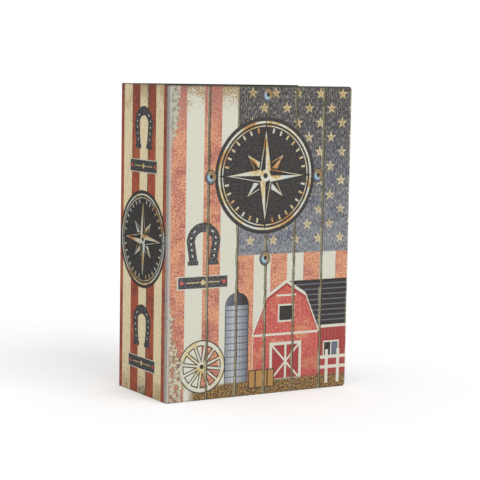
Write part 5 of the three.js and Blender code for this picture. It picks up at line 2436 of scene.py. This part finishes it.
    def turn_in_edges(self, mesh: Mesh) -> None:
        """Adds the strips that are folded in over the boards.

        Args:
            mesh: the sheet that gets the strips.
        """
        for depth in (self.front_inner, self.back_inner):
            self.cover_turn_in(mesh, depth)
        for level, inward in ((0.0, self.turn_in), (self.top, -self.turn_in)):
            outer = [self.nearest(mesh, (self.spine_inner, depth, level))
                     for depth in (self.spine_start, self.spine_end)]
            inner = [mesh.verts.new(vert.co + Vector((0, 0, inward))) for vert in reversed(outer)]
            mesh.faces.new([*outer, *inner])
        bmesh.ops.recalc_face_normals(mesh, faces=mesh.faces)
        outside = max(mesh.faces, key=lambda face: face.calc_area())
        if outside.normal.y * outside.calc_center_median().y < 0:
            bmesh.ops.reverse_faces(mesh, faces=mesh.faces)

    def nearest(self, mesh: Mesh, place: Sequence[float]) -> Vert:
        """The vertex nearest to a place."""
        target = Vector(place)
        return min(mesh.verts, key=lambda vert: (vert.co - target).length_squared)

    def cover_turn_in(self, mesh: Mesh, depth: float) -> None:
        """Three strips on the inner side of one cover.

        Args:
            mesh: the sheet.
            depth: place of the cover's inner side.
        """
        rim = [vert for vert in mesh.verts
               if abs(vert.co.y - depth) < TOUCH and vert.co.x > self.spine_inner - TOUCH
               and any(edge.is_boundary for edge in vert.link_edges)]
        rim.sort(key=lambda vert: math.atan2(vert.co.z - self.top / 2, vert.co.x - self.spine_inner))
        mesh.faces.new(rim)
        right, low, high = self.right - self.turn_in, self.turn_in, self.top - self.turn_in
        for place, normal in (((right, 0, 0), RIGHT), ((0, 0, low), UP), ((0, 0, high), UP)):
            self.cut(mesh, place, normal, [face for face in mesh.faces if self.on_level(face, depth)])
        window = []
        for face in mesh.faces:
            middle = face.calc_center_median()
            if self.on_level(face, depth) and middle.x < right and low < middle.z < high:
                window.append(face)
        bmesh.ops.delete(mesh, geom=window, context="FACES")

    def on_level(self, face: Face, depth: float) -> bool:
        """Whether all of a face lies at one depth."""
        return all(abs(vert.co.y - depth) < TOUCH for vert in face.verts)

    def map_flat(self, mesh: Mesh) -> None:
        """Writes each corner's place on the flat sheet, and which side's material a face has.

        Args:
            mesh: the finished sheet.
        """
        layer = mesh.loops.layers.uv.new(PRINT_MAP)
        for face in mesh.faces:
            middle = face.calc_center_median()
            for loop in face.loops:
                loop[layer].uv = self.flat_place(loop.vert.co, middle, face)
            across = sum(loop[layer].uv.x for loop in face.loops) / len(face.loops)
            side = Side.FRONT if across > 0 else Side.SPINE if across > -self.thick else Side.BACK
            face.material_index = side.value

    def flat_place(self, place: Vector, middle: Vector, face: Face) -> Point:
        """Place on the flat sheet.

        Args:
            place: a corner of the face.
            middle: the face's middle.
            face: the face.

        Returns:
            Across from the spine's front edge, and up from the foot.
        """
        reach = place.x - self.left
        height = place.z
        if self.front_inner < middle.y < self.back_inner and middle.x < self.spine_inner - TOUCH:
            depth = reach
            across = self.front - place.y
        else:
            in_front = middle.y < 0
            depth = place.y - self.front if in_front else self.back - place.y
            past = reach - depth if reach < self.spine_radius + TOUCH else reach
            if reach > self.width - self.edge_radius - TOUCH:
                past = reach + depth
            across = past if in_front else -self.thick - past
        folded_in = self.on_level(face, self.front_inner) or self.on_level(face, self.back_inner)
        if folded_in or all(abs(vert.co.x - self.spine_inner) < TOUCH for vert in face.verts):
            return (across, self.top + self.turn_in + height)
        if height > self.top - self.edge_radius - TOUCH:
            height += self.inward(reach, depth)
        elif height < self.edge_radius + TOUCH:
            height -= self.inward(reach, depth)
        return (across, height)

    def inward(self, reach: float, depth: float) -> float:
        """How far a point of a cover's head or foot lies inside the rounded edge beside the spine."""
        gap = Vector((max(self.spine_radius - reach, 0), max(self.spine_radius - depth, 0)))
        return self.spine_radius - gap.length if min(gap) > 0 else min(reach, depth)


@dataclass
class Studio:
    """Floor, light and the camera at the photograph's place, which was worked out in heights of the book."""

    seen = ("Is Camera Ray", "Is Glossy Ray", "Is Transmission Ray")
    lens: float = 119.55
    sensor: float = 36.0
    azimuth: float = math.radians(-30.96)
    elevation: float = math.radians(6.05)
    roll: float = math.radians(1.01)
    distance_share: float = 5.275
    right_share: float = 0.0171
    up_share: float = -0.0112
    floor_half: float = 4.0
    floor_colour: Colour = (0.86, 0.86, 0.86, 1.0)
    floor_rough: float = 0.9
    floor_light: float = 0.24
    fill: float = 0.72
    key: float = 1.15
    key_from: tuple[float, float, float] = (0.25, -0.85, 0.62)
    key_softness: float = math.radians(50)

    def build(self, height: float) -> None:
        """Sets everything that isn't the object.

        Args:
            height: height of the book.
        """
        self.camera(height)
        self.floor()
        self.lights()
        bpy.context.scene.view_settings.view_transform = "Standard"

    def camera(self, height: float) -> None:
        """Camera at a distance that follows the book's height.

        Args:
            height: height of the book.
        """
        turn, rise = self.azimuth, self.elevation
        back = Vector((math.sin(turn) * math.cos(rise), -math.cos(turn) * math.cos(rise), math.sin(rise)))
        level_right = (-back).cross(Vector(UP)).normalized()
        level_up = level_right.cross(-back)
        right = level_right * math.cos(self.roll) + level_up * math.sin(self.roll)
        up = level_up * math.cos(self.roll) - level_right * math.sin(self.roll)
        target = Vector((0, 0, height / 2)) + (right * self.right_share + up * self.up_share) * height
        data = bpy.data.cameras.new("camera")
        data.lens = self.lens
        data.sensor_width = self.sensor
        camera = bpy.data.objects.new("camera", data)
        camera.matrix_world = basis(right, up, back, target + back * self.distance_share * height)
        bpy.context.scene.collection.objects.link(camera)
        bpy.context.scene.camera = camera

    def floor(self) -> None:
        """A pale plane whose own light, seen only by the eye and by gloss, lifts it to white."""
        mesh = bmesh.new()
        bmesh.ops.create_grid(mesh, x_segments=1, y_segments=1, size=self.floor_half)
        plane = keep(mesh, "floor")
        material = bpy.data.materials.new("floor")
        material.use_nodes = True
        graph = Graph(material.node_tree)
        graph.fill(material.node_tree.nodes["Principled BSDF"], Base_Color=self.floor_colour,
                   Roughness=self.floor_rough, Specular_IOR_Level=0.0, Emission_Color=WHITE,
                   Emission_Strength=self.seen_rays(graph) * self.floor_light)
        plane.data.materials.append(material)
        plane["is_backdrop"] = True

    def seen_rays(self, graph: Graph) -> Field:
        """Finds the rays from the eye, and those that gloss and glass send on.

        Args:
            graph: the material or the sky that asks.

        Returns:
            1 for such a ray, else 0.
        """
        path = graph.node("ShaderNodeLightPath")
        eye, gloss, glass = (Field(graph, path.outputs[name]) for name in self.seen)
        return eye | gloss | glass

    def lights(self) -> None:
        """An even white sky and one broad soft lamp."""
        world = bpy.data.worlds.new("sky")
        bpy.context.scene.world = world
        world.use_nodes = True
        graph = Graph(world.node_tree)
        graph.fill(world.node_tree.nodes["Background"], Color=WHITE,
                   Strength=self.seen_rays(graph).spread(0.0, 1.0, self.fill, 1.0))
        data = bpy.data.lights.new("key", "SUN")
        data.energy = self.key
        data.angle = self.key_softness
        lamp = bpy.data.objects.new("key", data)
        lamp.matrix_world = Vector(self.key_from).to_track_quat("Z", "Y").to_matrix().to_4x4()
        bpy.context.scene.collection.objects.link(lamp)


SLOT_OF_NODE = {row["node"]: Slot(row["material_slot"]) for row in frame["record"]["subparts"]}


def main() -> None:
    """Builds every sub-assembly in order and reports it."""
    logging.basicConfig(level=logging.INFO, format="%(message)s")
    cad_low, cad_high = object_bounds()
    size = (cad_high - cad_low) / MM
    finishes = Finishes(SheetPlan(width=size.x, height=size.z, thick=size.y))
    Studio().build(cad_high.z)
    for name, node in frame["nodes"].items():
        finishes.dress(node, SLOT_OF_NODE[name])
    log.info("dressed %d nodes", len(frame["nodes"]))
    repeater = Repeater()
    CanvasCase(finishes, repeater).build()
    HingeCloth(finishes, repeater).build()
    PageBlock(finishes, repeater).build()
    box = SteelBox(finishes, repeater)
    box.build()
    InnerLid(finishes, repeater).build()
    PianoHinge(finishes, repeater).build()
    CamLock(finishes, repeater).build(box)


if __name__ == "__main__":
    main()
